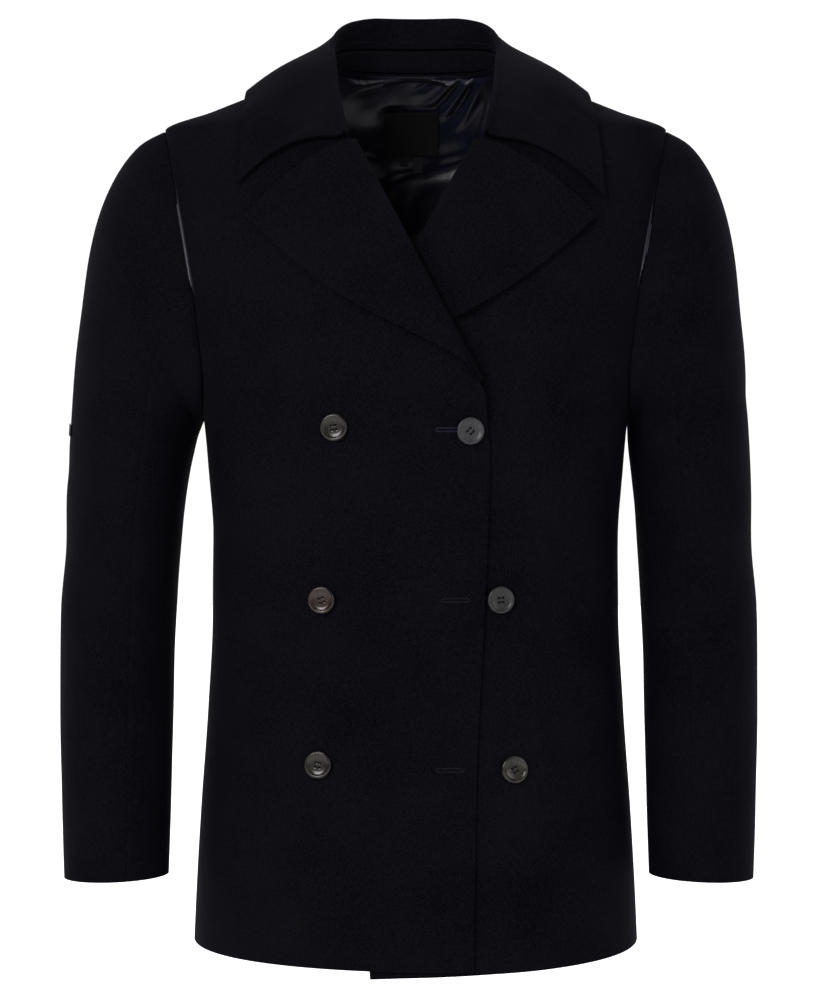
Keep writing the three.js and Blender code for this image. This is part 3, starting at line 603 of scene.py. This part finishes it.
def woolFinish(name):
    f = Finish(name)
    place = f.place()
    cloth = f.cloth()
    patches = f.noise(place, 14, 3, 0.55)
    nap = f.noise(f.stretched(place, (1, 1, 0.55)), melton["napSize"], 4, 0.65)
    fuzz = f.noise(place, melton["napSize"] * 2.6, 2, 0.6)
    across = f.node("ShaderNodeSeparateXYZ", None, {0: cloth}, 0)
    along = f.node("ShaderNodeSeparateXYZ", None, {0: cloth}, 1)
    drift = f.noise(place, 260, 2) * 5.0
    twill = ((across + along) * melton["twill"] * 2 + drift).sine() * 0.5 + 0.5
    shade = (patches - 0.5) * 0.9 + (nap - 0.5) * 2.6 + (fuzz - 0.5) * 0.8 + twill * 0.16 + 0.34
    relief = nap * 0.7 + fuzz * 0.35 + twill * 0.12
    return f.surface(
        Base_Color=f.blend(shade, melton["dark"], melton["light"]),
        Roughness=0.84 + nap * 0.14,
        Specular_IOR_Level=0.03,
        Sheen_Weight=melton["sheen"],
        Sheen_Roughness=0.45,
        Sheen_Tint=(0.42, 0.45, 0.72, 1),
        Normal=f.bumped(relief, melton["relief"], 0.9),
    )


satin = {
    "dark": (0.0040, 0.0040, 0.0105),
    "light": (0.0105, 0.0105, 0.0260),
    "roughness": 0.30,
    "threads": 2600.0,
}


def satinFinish(name):
    f = Finish(name)
    cloth = f.cloth()
    across = f.node("ShaderNodeSeparateXYZ", None, {0: cloth}, 0)
    along = f.node("ShaderNodeSeparateXYZ", None, {0: cloth}, 1)
    threads = (across * satin["threads"]).sine() * 0.5 + 0.5
    picks = (along * satin["threads"] * 0.6).sine() * 0.5 + 0.5
    slubs = f.noise(f.stretched(cloth, (1, 0.08, 1)), 900, 3, 0.6)
    cloudy = f.noise(f.place(), 30, 3, 0.5)
    return f.surface(
        Base_Color=f.blend(cloudy * 0.7 + threads * 0.2, satin["dark"], satin["light"]),
        Roughness=satin["roughness"] + slubs * 0.16,
        Specular_IOR_Level=0.42,
        Anisotropic=0.5,
        Normal=f.bumped(threads * 0.5 + picks * 0.3 + slubs * 0.8, 0.00005, 0.6),
    )


weave = {"ribs": 9000.0, "ends": 5200.0}  # to the metre


def wovenFinish(name, dark, light):
    f = Finish(name)
    cloth = f.cloth()
    across = f.node("ShaderNodeSeparateXYZ", None, {0: cloth}, 0)
    along = f.node("ShaderNodeSeparateXYZ", None, {0: cloth}, 1)
    ribs = (along * weave["ribs"]).sine() * (across * weave["ends"]).sine() * 0.5 + 0.5
    wear = f.noise(f.place(), 320, 3, 0.6)
    return f.surface(
        Base_Color=f.blend(ribs * 0.5 + wear * 0.5, dark, light),
        Roughness=0.62 + wear * 0.2,
        Specular_IOR_Level=0.25,
        Normal=f.bumped(ribs + wear * 0.5, 0.00012, 0.7),
    )


def threadFinish(name, shade):
    f = Finish(name)
    twist = f.noise(f.place(), 2600, 2, 0.6)
    return f.surface(
        Base_Color=f.blend(twist, [c * 0.5 for c in shade], [c * 1.5 for c in shade]),
        Roughness=0.6 + twist * 0.2,
        Specular_IOR_Level=0.2,
        Normal=f.bumped(twist, 0.0001, 0.6),
    )


def hornFinish(name, dark, middle, light, roughness, streaks=60.0):
    f = Finish(name)
    place = f.place()
    bent = f.noise(f.stretched(place, (1, 1, 0.35), 0.6), streaks, 5, 0.6)
    fine = f.noise(f.stretched(place, (1, 1, 0.2), 0.9), streaks * 9, 3, 0.6)
    scuff = f.noise(place, 1600, 3, 0.6)
    stops = [(0.36, dark), (0.66, light), (0.52, middle)]
    ramp = f.node("ShaderNodeValToRGB", {"stops": stops}, {0: bent * 0.8 + fine * 0.2})
    return f.surface(
        Base_Color=ramp,
        Roughness=roughness + scuff * 0.12,
        Specular_IOR_Level=0.5,
        Coat_Weight=0.15,
        Coat_Roughness=0.12,
        Normal=f.bumped(scuff * 0.4 + fine * 0.6, 0.00008, 0.5),
    )


woolCloth = woolFinish("melton")
satinCloth = satinFinish("satin")
labelCloth = wovenFinish("labelWeave", (0.0018, 0.0018, 0.0020), (0.0052, 0.0052, 0.0056))
tabCloth = wovenFinish("tabWeave", (0.010, 0.010, 0.013), (0.030, 0.030, 0.036))
darkThread = threadFinish("darkThread", (0.0060, 0.0060, 0.0092))
violetThread = threadFinish("violetThread", (0.012, 0.010, 0.034))
buttonThread = threadFinish("buttonThread", (0.0040, 0.0040, 0.0050))
print("finishes made")

# Making cloth


def evenly(t, ends):  # closer together towards both ends
    return mix(t, (1 - math.cos(math.pi * t)) / 2, ends)


def clothPiece(name, across, along, place, size, finishes, outside, thickness=None,
               ends=(0.6, 0.25), facing=None, rounding=0.3, closed=False):
    bm = bmesh.new()
    cloth = bm.loops.layers.uv.new("cloth")
    bmesh.ops.create_grid(bm, x_segments=across, y_segments=along, size=0.5, calc_uvs=True)
    middle = min(bm.faces, key=lambda face: face.calc_center_median().length)
    shares = {}
    for vert in bm.verts:
        u, v = evenly(clamp(vert.co.x + 0.5), ends[0]), evenly(clamp(vert.co.y + 0.5), ends[1])
        shares[vert] = (u, v)
    for face in bm.faces:
        for loop in face.loops:
            u, v = shares[loop.vert]
            loop[cloth].uv = (u * size[0], v * size[1])
        if facing:
            face.material_index = 2 if facing(*shares[face.verts[0]]) else 0
    for vert, (u, v) in shares.items():
        vert.co = place(u, v) * 0.001
    bm.normal_update()
    if middle.normal.dot(outside) < 0:
        bmesh.ops.reverse_faces(bm, faces=bm.faces)
    if closed:
        bmesh.ops.remove_doubles(bm, verts=bm.verts, dist=1e-6)
    return settle(name, bm, finishes, thickness, rounding)


def settle(name, bm, finishes, thickness=None, rounding=0.0):
    mesh = bpy.data.meshes.new(name)
    bm.to_mesh(mesh)
    bm.free()
    mesh.shade_smooth()
    for finish in finishes:
        mesh.materials.append(finish)
    made = bpy.data.objects.new(name, mesh)
    bpy.context.scene.collection.objects.link(made)
    if thickness:
        wall = made.modifiers.new("wall", "SOLIDIFY")
        wall.thickness, wall.offset = thickness * 0.001, -1
        wall.use_quality_normals = True
        wall.material_offset = 1 if len(finishes) > 1 else 0
    if rounding:
        edge = made.modifiers.new("edge", "BEVEL")
        edge.width, edge.segments, edge.limit_method = rounding * 0.001, 2, "ANGLE"
        edge.angle_limit = math.radians(50)
    return made


def sewn(made, node):
    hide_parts(node)
    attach(made, "root")
    return made


# The two fronts and the back

woolWall = [woolCloth, satinCloth, woolCloth, woolCloth]  # face, lining, face near the edge, its facing

for name, front in fronts.items():
    made = clothPiece(
        f"front_{name}_cloth", 96, 210, frontPlace(front), (0.27, 0.76), woolWall, Vector((0, -1, 0)),
        coat["wool"], facing=lambda u, v: u < 0.34 or v < 0.05)
    sewn(made, f"front_{name}")
made = clothPiece(
    "back_cloth", 190, 210, backPlace(), (0.56, 0.77), woolWall, Vector((0, 1, 0)),
    coat["wool"], facing=lambda u, v: v < 0.05)
sewn(made, "back")
print("body made")

# Sleeves

for name, side in (("right", -1), ("left", 1)):
    made = clothPiece(
        f"top_sleeve_{name}_cloth", 84, 230, sleevePlace(side, -sleeveSeam, sleeveSeam), (0.25, 0.66), woolWall,
        Vector((side, 0, 0)), coat["wool"], facing=lambda u, v: v < 0.05)
    sewn(made, f"top_sleeve_{name}")
    made = clothPiece(
        f"under_sleeve_{name}_cloth", 56, 200, sleevePlace(side, sleeveSeam, 2 * math.pi - sleeveSeam),
        (0.17, 0.50), woolWall, Vector((-side, 0, 0)), coat["wool"], facing=lambda u, v: v < 0.05)
    sewn(made, f"under_sleeve_{name}")
print("sleeves made")

# Lapels and collar

for name, front in fronts.items():
    made = clothPiece(
        f"lapel_{name}_cloth", 70, 120, lapelPlace(front), (0.13, 0.25), [woolCloth], Vector((0, -1, 0)),
        coat["wool"], ends=(0.2, 0.2), rounding=0.7)
    sewn(made, f"lapel_{name}")
made = clothPiece(
    "collar_stand_cloth", 120, 12, standPlace, (0.21, 0.022), [woolCloth], Vector((0, -1, 0)),
    coat["wool"], ends=(0.0, 0.4))
sewn(made, "collar_stand")
made = clothPiece(
    "collar_leaf_cloth", 220, 64, leafPlace, (0.52, 0.13), [woolCloth], Vector((0, 0, 1)),
    coat["wool"], ends=(0.3, 0.1), rounding=0.7)
sewn(made, "collar_leaf")
print("collar made")

# Inside the neck: loose satin lining, label, tabs and hanger loop

lining = {
    "depth": 2.9,          # its outer side below the back's
    "loose": 3.0,          # how far it stands off the back where nothing holds it
    "gatherPitch": 5.2,    # gathers along the neck seam
    "gatherHeight": 0.9,
}
liningFolds = [  # as the body's; a plus stands towards the wearer
    (1, -72, 24, -6, 33, 6, 4.0), (1, -72, 11, 6, 34, 4, -3.4), (1, -62, -8, 2, 22, 11, 3.0),
    (1, 56, 36, 18, -10, 4, 3.6), (1, 45, 36, 6, 2, 4, 3.2), (1, 64, 32, 34, -22, 4.5, 4.2),
    (1, 68, 12, 42, -42, 5, 3.0), (1, 50, 36, 12, -5, 2.6, -3.4), (1, 60, 34, 26, -16, 2.8, -3.4),
    (1, 72, 20, 52, -36, 4, -3.0), (1, 34, 34, 0, 10, 3.4, 2.0), (1, 29, 34, -4, 14, 2.4, -2.2),
    (1, -58, -36, -18, -54, 5.5, -4.6), (1, -20, -60, 60, -42, 7, -4.6), (1, -46, -58, 50, -32, 7, 3.6),
    (1, -50, -52, -28, -88, 8, 3.4), (1, -10, -52, -34, -98, 6.5, -5.2), (1, -9, -62, -4, -134, 3, 2.8),
    (1, -17, -66, -11, -108, 2.6, 2.2), (1, 3, -56, 1, -124, 4.5, 3.4), (1, -3, -60, -1, -126, 2.2, -2.4),
    (1, 15, -52, 8, -124, 5, -4.4), (1, 58, -40, 28, -102, 6.5, 6.2), (1, 36, -86, -6, -140, 5.5, 5.8),
    (1, -26, -90, -14, -150, 4, 2.4), (1, -80, -60, -46, -150, 10, 3.0), (1, 84, -60, 40, -160, 10, 3.4),
    (1, -120, -40, -70, -200, 14, 4.0), (1, 124, -60, 66, -210, 14, 4.0), (1, -20, -150, 12, -270, 12, 3.6),
]
label = {"x": -3.5, "top": 2.5, "width": 49.0, "height": 40.0, "lift": 7.3, "cloth": 0.9}


def underLabel(x, z):  # 1 where the label holds the lining flat
    across = smooth((label["width"] / 2 + 6 - abs(x - label["x"])) / 8)
    up = smooth((z - label["top"] + label["height"] + 16) / 10) * smooth((label["top"] + 6 - z) / 8)
    return across * up


def liningPlace(u, v):
    w = mix(10 / 22, 21 / 22, v)
    flat = backPlace(lining["depth"], 0.0, False)(mix(0.1, 0.9, u), w)
    x, z = flat.x - coat["bodyMiddle"], flat.z
    normal = outward(x, max(flat.y, 1.0), z, 1)
    held = smooth(u / 0.05) * smooth((1 - u) / 0.05) * smooth(v / 0.05) * smooth((1 - v) / 0.02)
    deep = lining["loose"] * held + foldAt(liningFolds, x, z, 1) * (0.3 + 0.7 * held)
    calm = underLabel(x, z)
    deep = mix(deep, min(deep, 1.6), calm)
    gather = math.sin(2 * math.pi * (x / lining["gatherPitch"] + 0.4 * math.sin(x * 0.21)))
    fromSeam = (1 - v) * 330
    deep += lining["gatherHeight"] * (0.6 + 0.4 * math.sin(x * 0.37)) * gather * bump(fromSeam / 9)
    return flat - normal * max(0.1, deep)


made = clothPiece(
    "back_lining_cloth", 250, 150, liningPlace, (0.42, 0.33), [satinCloth], Vector((0, -1, 0)),
    None, ends=(0.0, 0.0), rounding=0)
made.modifiers.new("wall", "SOLIDIFY").thickness = 0.0006
sewn(made, "back_lining")


def patchPlace(x, top, width, height, lift, curl=0.0):
    def place(u, v):
        at = bodyAt(x + width * (u - 0.5), top - height * (1 - v), 1, -lift - curl * (1 - v) ** 2)[0]
        return at

    return place


def patchPiece(name, x, top, width, height, lift, finish, curl=0.0):
    return clothPiece(
        name, 30, 26, patchPlace(x, top, width, height, lift, curl), (width * 0.001, height * 0.001), [finish],
        Vector((0, -1, 0)), label["cloth"], ends=(0.0, 0.0), rounding=0.25)


def stitches(name, path, finish, thread=0.28, length=1.5):  # path: middle, direction and normal of each stitch
    bm = bmesh.new()
    for middle, along, normal in path:
        side = normal.cross(along).normalized()
        turn = Matrix((along, side, normal)).transposed().to_4x4()
        turn.translation = middle * 0.001
        bmesh.ops.create_uvsphere(
            bm, u_segments=6, v_segments=4, radius=0.001,
            matrix=turn @ Matrix.Diagonal((length / 2, thread, thread * 0.8, 1)))
    made = settle(name, bm, [finish])
    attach(made, "root")
    return made


def alongLine(point, count, trim=0.0):  # stitches laid evenly along a line of points
    path = []
    for i in range(count):
        k = mix(trim, 1 - trim, (i + 0.5) / count)
        (a, _), (b, normal) = point(k - 0.002), point(k + 0.002)
        path.append(((a + b) / 2, (b - a).normalized(), normal))
    return path


made = patchPiece("neck_label_cloth", label["x"], label["top"], label["width"], label["height"], label["lift"], labelCloth)
edgeStitch = []
for x0, z0, x1, z1 in ((-1, 1, 1, 1), (1, 1, 1, -1), (1, -1, -1, -1), (-1, -1, -1, 1)):
    def labelLine(k, x0=x0, z0=z0, x1=x1, z1=z1):
        x = label["x"] + mix(x0, x1, k) * (label["width"] / 2 - 1.6)
        z = label["top"] - label["height"] / 2 + mix(z0, z1, k) * (label["height"] / 2 - 1.6)
        point, normal = bodyAt(x, z, 1, -label["lift"] - 0.1)
        return point, -normal
    edgeStitch += alongLine(labelLine, 19 if z0 == z1 else 15)
labelStitches = stitches("neck_label_stitches", edgeStitch, darkThread)
sewn(made, "neck_label")
made = patchPiece("size_tab_right_cloth", -10.5, -38.5, 8, 9.5, 7.0, tabCloth, -0.8)
sewn(made, "size_tab_right")
made = patchPiece("size_tab_left_cloth", 2.5, -38.5, 9, 14.5, 7.0, tabCloth, 0.9)
sewn(made, "size_tab_left")

loop = {"half": 29.0, "rise": 5.0, "wide": 3.4, "thick": 1.6}


def loopPlace(u, v):
    height = coat["neckHeight"] - 2
    end = bodyAt(loop["half"], height, 1, -2.4 - 1.0 - 1.6 - 3.0)[0]
    middle = bodyAt(0, height, 1, -2.4 - 1.0 - 1.6 - 5.2)[0]
    path = [
        Vector((-loop["half"], end.y, end.z)),
        Vector((-loop["half"] * 0.6, middle.y - 1, end.z + loop["rise"] * 0.6)),
        Vector((0, middle.y, end.z + loop["rise"])),
        Vector((loop["half"] * 0.6, middle.y - 1, end.z + loop["rise"] * 0.6)),
        Vector((loop["half"], end.y, end.z)),
    ]
    turn = 2 * math.pi * u
    at = throughPoints(path, v) + Vector((coat["bodyMiddle"], 0, 0))
    return at + Vector((0, loop["thick"] / 2 * math.cos(turn), loop["wide"] / 2 * math.sin(turn)))


made = clothPiece(
    "hanger_loop_cloth", 14, 44, loopPlace, (0.008, 0.06), [woolCloth], Vector((0, 1, 0)),
    None, ends=(0.0, 0.0), rounding=0, closed=True)
sewn(made, "hanger_loop")
print("neck made")

# Buttons, buttonholes and thread

button = {
    "width": 23.0,
    "profile": [(0, 0), (0.38, 0), (0.46, 0.03), (0.494, 0.07), (0.5, 0.105), (0.488, 0.145), (0.462, 0.168),
                (0.43, 0.176), (0.40, 0.166), (0.36, 0.138), (0.31, 0.122), (0.2, 0.113), (0, 0.11)],
    "hole": 2.1,
    "holeRing": 0.115,
}
buttonPlaces = {  # x, z, lift, on the under front, turned, finish
    "outer_top": (-68.5, -289, -0.1, False, 8, "brown"), "outer_middle": (-79, -434, 0.9, False, 20, "russet"),
    "outer_bottom": (-81.5, -572, 0.9, False, -12, "brown"), "inner_top": (45.5, -292, -0.1, False, 45, "grey"),
    "inner_middle": (71.5, -434, 0.9, True, 4, "ash"), "inner_bottom": (82.5, -576, 0.9, True, 30, "brown"),
}
hornCloths = {
    "brown": hornFinish("brownHorn", (0.0018, 0.0015, 0.0011), (0.0050, 0.0042, 0.0030), (0.034, 0.028, 0.020), 0.16),
    "russet": hornFinish("russetHorn", (0.0018, 0.0013, 0.0011), (0.0060, 0.0036, 0.0030), (0.052, 0.026, 0.020), 0.16),
    "grey": hornFinish("greyHorn", (0.014, 0.014, 0.018), (0.022, 0.022, 0.027), (0.040, 0.041, 0.049), 0.42, 26),
    "ash": hornFinish("ashHorn", (0.009, 0.009, 0.0095), (0.015, 0.015, 0.0155), (0.028, 0.028, 0.028), 0.40, 26),
}


def buttonMesh():
    bm = bmesh.new()
    width = button["width"] * 0.001
    ring = [bm.verts.new((r * width, 0, h * width)) for r, h in button["profile"]]
    edges = [bm.edges.new(pair) for pair in zip(ring, ring[1:])]
    bmesh.ops.spin(bm, geom=ring + edges, cent=(0, 0, 0), axis=(0, 0, 1), angle=2 * math.pi, steps=56,
                   use_merge=True, use_duplicate=False)
    bmesh.ops.remove_doubles(bm, verts=bm.verts, dist=1e-6)
    bmesh.ops.recalc_face_normals(bm, faces=bm.faces)
    body = settle("buttonBody", bm, [])
    bm = bmesh.new()
    for i in range(4):
        turn = quarter * (i + 0.5)
        place = Matrix.Translation((math.cos(turn) * button["holeRing"] * width, math.sin(turn) * button["holeRing"] * width, 0))
        bmesh.ops.create_cone(bm, cap_ends=True, segments=20, radius1=button["hole"] / 2000, radius2=button["hole"] / 2000,
                              depth=width, matrix=place)
    drill = settle("buttonDrill", bm, [])
    cut = body.modifiers.new("holes", "BOOLEAN")
    cut.operation, cut.object, cut.solver = "DIFFERENCE", drill, "EXACT"
    soft = body.modifiers.new("soft", "BEVEL")
    soft.width, soft.segments, soft.angle_limit = 0.00018, 2, math.radians(40)
    shape = bpy.data.meshes.new_from_object(body.evaluated_get(bpy.context.evaluated_depsgraph_get()))
    for spare in (body, drill):
        bpy.data.objects.remove(spare)
    return shape


buttonShape = buttonMesh()
for name, (x, z, lift, under, turned, horn) in buttonPlaces.items():
    point, normal = bodyAt(x, z, -1, lift - (underLayer(x, z) if under else 0))
    place = normal.to_track_quat("Z", "Y").to_matrix().to_4x4() @ Matrix.Rotation(math.radians(turned), 4, "Z")
    place.translation = point * 0.001
    mesh = buttonShape.copy()
    mesh.transform(place)
    mesh.materials.clear()
    mesh.materials.append(hornCloths[horn])
    made = bpy.data.objects.new(f"button_{name}_horn", mesh)
    bpy.context.scene.collection.objects.link(made)
    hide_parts(f"button_{name}")
    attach(made, "root")
    bm = bmesh.new()  # two bars of thread over the middle, each of two strands
    reach = button["holeRing"] * button["width"] * math.cos(quarter / 2)
    for offset in (-reach, reach):
        bar = place @ Matrix.Translation((0, offset * 0.001, button["width"] * 0.112 * 0.001))
        for strand in (-0.32, 0.32):
            bmesh.ops.create_uvsphere(
                bm, u_segments=12, v_segments=8, radius=0.001,
                matrix=bar @ Matrix.Translation((0, strand * 0.001, 0))
                @ Matrix.Diagonal((reach + 0.5, 0.34, 0.42, 1)))
    made = settle(f"button_{name}_thread", bm, [buttonThread])
    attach(made, "root")

buttonhole = {"length": 25.0, "width": 4.6, "thread": 0.85, "pitch": 1.0, "lift": 0.25}
buttonholes = {  # middle x and z, thread
    "top": (28.5, -291, violetThread),
    "middle": (33.0, -434, darkThread),
    "bottom": (28.5, -576, darkThread),
}


def holeRim(x, z, k):  # round the stadium of a buttonhole
    straight = buttonhole["length"] - buttonhole["width"]
    end = buttonhole["width"] / 2 - buttonhole["thread"]
    whole = 2 * straight + 2 * math.pi * end
    far = (k % 1) * whole
    if far < straight:
        return x - straight / 2 + far, z + end
    far -= straight
    if far < math.pi * end:
        return x + straight / 2 + end * math.sin(far / end), z + end * math.cos(far / end)
    far -= math.pi * end
    if far < straight:
        return x + straight / 2 - far, z - end
    far -= straight
    return x - straight / 2 - end * math.sin(far / end), z - end * math.cos(far / end)


for name, (x, z, finish) in buttonholes.items():
    def rim(k):
        return bodyAt(*holeRim(x, z, k), -1, buttonhole["lift"], 1.0)

    count = int(2 * (buttonhole["length"] + buttonhole["width"]) / buttonhole["pitch"])
    path = []
    for middle, along, normal in alongLine(rim, count):
        path.append((middle, normal.cross(along).normalized(), normal))
    made = stitches(f"buttonhole_{name}", path, finish, 0.42, buttonhole["thread"] * 2.3)
print("buttons made")

# Stitching on the collar's inside, and the sleeve's tab


def bandLine(k):
    at = leafPlace(mix(0.24, 0.76, k), 0.03)
    out = Vector((at.x - coat["bodyMiddle"], at.y, 0)).normalized()
    return at - out * 0.15, -out


def standLine(k):
    at = standPlace(mix(0.04, 0.96, k), 0.86)
    out = Vector((at.x - coat["bodyMiddle"], at.y, 0)).normalized()
    return at - out * 0.15, -out


for name, line in (("leaf", bandLine), ("stand", standLine)):
    made = stitches(f"collar_{name}_stitches", alongLine(line, 88), darkThread, 0.3, 1.9)

tab = {"at": 6.0, "turn": -0.25, "wide": 13.0, "tall": 9.0, "clear": 1.0}


def tabPlace(u, v):
    at = tab["at"] - (v - 0.5) * tab["tall"] / 75
    around = tab["turn"] + (0.5 - u) * tab["wide"] / 66
    return sleevePoint(at, around, -1, tab["clear"] + 0.6)


made = clothPiece(
    "sleeve_tab_cloth", 18, 14, tabPlace, (0.013, 0.009), [labelCloth], Vector((-1, 0, 0)), 0.8,
    ends=(0.0, 0.0), rounding=0.25)
sewn(made, "sleeve_tab")
print("stitching made")

# Floor, light and camera

studio = {
    "floor": -1.02, "floorWidth": 11.0, "paper": (0.90, 0.90, 0.91),
    "front": 0.16, "behind": 1.08,  # the sky's light in front of the coat and behind it
    "lamps": [  # place, size, strength
        ((-1.7, -2.9, 1.0), 1.5, 62.0), ((2.3, -2.2, 0.3), 1.6, 16.0), ((0.1, 0.2, 2.3), 1.8, 20.0),
    ],
    "cameraHeight": -0.308, "cameraDistance": 2.6, "frameHeight": 0.88,
}

bm = bmesh.new()
bmesh.ops.create_circle(bm, cap_ends=True, segments=96, radius=studio["floorWidth"],
                        matrix=Matrix.Translation((0, 0, studio["floor"])))
paper = Finish("paper")
grain = paper.noise(paper.place(), 40, 3)
behind = paper.node("ShaderNodeSeparateXYZ", None, {0: paper.place()}, 1)
glow = paper.node("ShaderNodeMapRange", {"interpolation_type": "SMOOTHSTEP"}, {
    0: behind, 1: -0.6, 2: 0.9, 3: 0.0, 4: 1.0})
floor = settle("floor", bm, [paper.surface(
    Base_Color=paper.blend(grain, [c * 0.98 for c in studio["paper"]], studio["paper"]), Roughness=0.9,
    Specular_IOR_Level=0.1, Emission_Color=paper.blend(glow, (0, 0, 0), (1, 1, 1)), Emission_Strength=1.0)])

sky = Finish("sky", "worlds")
toward = sky.node("ShaderNodeTexCoord", output="Generated")
behind = sky.node("ShaderNodeSeparateXYZ", None, {0: toward}, 1)
light = sky.node("ShaderNodeMapRange", {"interpolation_type": "SMOOTHSTEP"}, {
    0: behind, 1: -0.35, 2: 0.8, 3: studio["front"], 4: studio["behind"]})
shader = sky.node("ShaderNodeBackground", None, {"Color": (1, 1, 1, 1), "Strength": light})
sky.node("ShaderNodeOutputWorld", None, {"Surface": shader}, None)
bpy.context.scene.world = sky.material
bpy.context.scene.view_settings.view_transform = "Standard"

for i, (place, size, strength) in enumerate(studio["lamps"]):
    lamp = bpy.data.lights.new(f"lamp{i}", "AREA")
    lamp.size, lamp.energy = size, strength
    holder = bpy.data.objects.new(f"lamp{i}", lamp)
    holder.location = place
    holder.rotation_euler = (Vector((0, 0, -0.33)) - Vector(place)).to_track_quat("-Z", "Y").to_euler()
    bpy.context.scene.collection.objects.link(holder)

lens = bpy.data.cameras.new("camera")
lens.sensor_width = 36
lens.lens = 36 * studio["cameraDistance"] / studio["frameHeight"]
lens.shift_y = -0.05  # the horizon lies a twentieth above the picture's middle
camera = bpy.data.objects.new("camera", lens)
camera.location = (0, -studio["cameraDistance"], studio["cameraHeight"])
camera.rotation_euler = (quarter, 0, 0)
bpy.context.scene.collection.objects.link(camera)
bpy.context.scene.camera = camera
print("studio made")
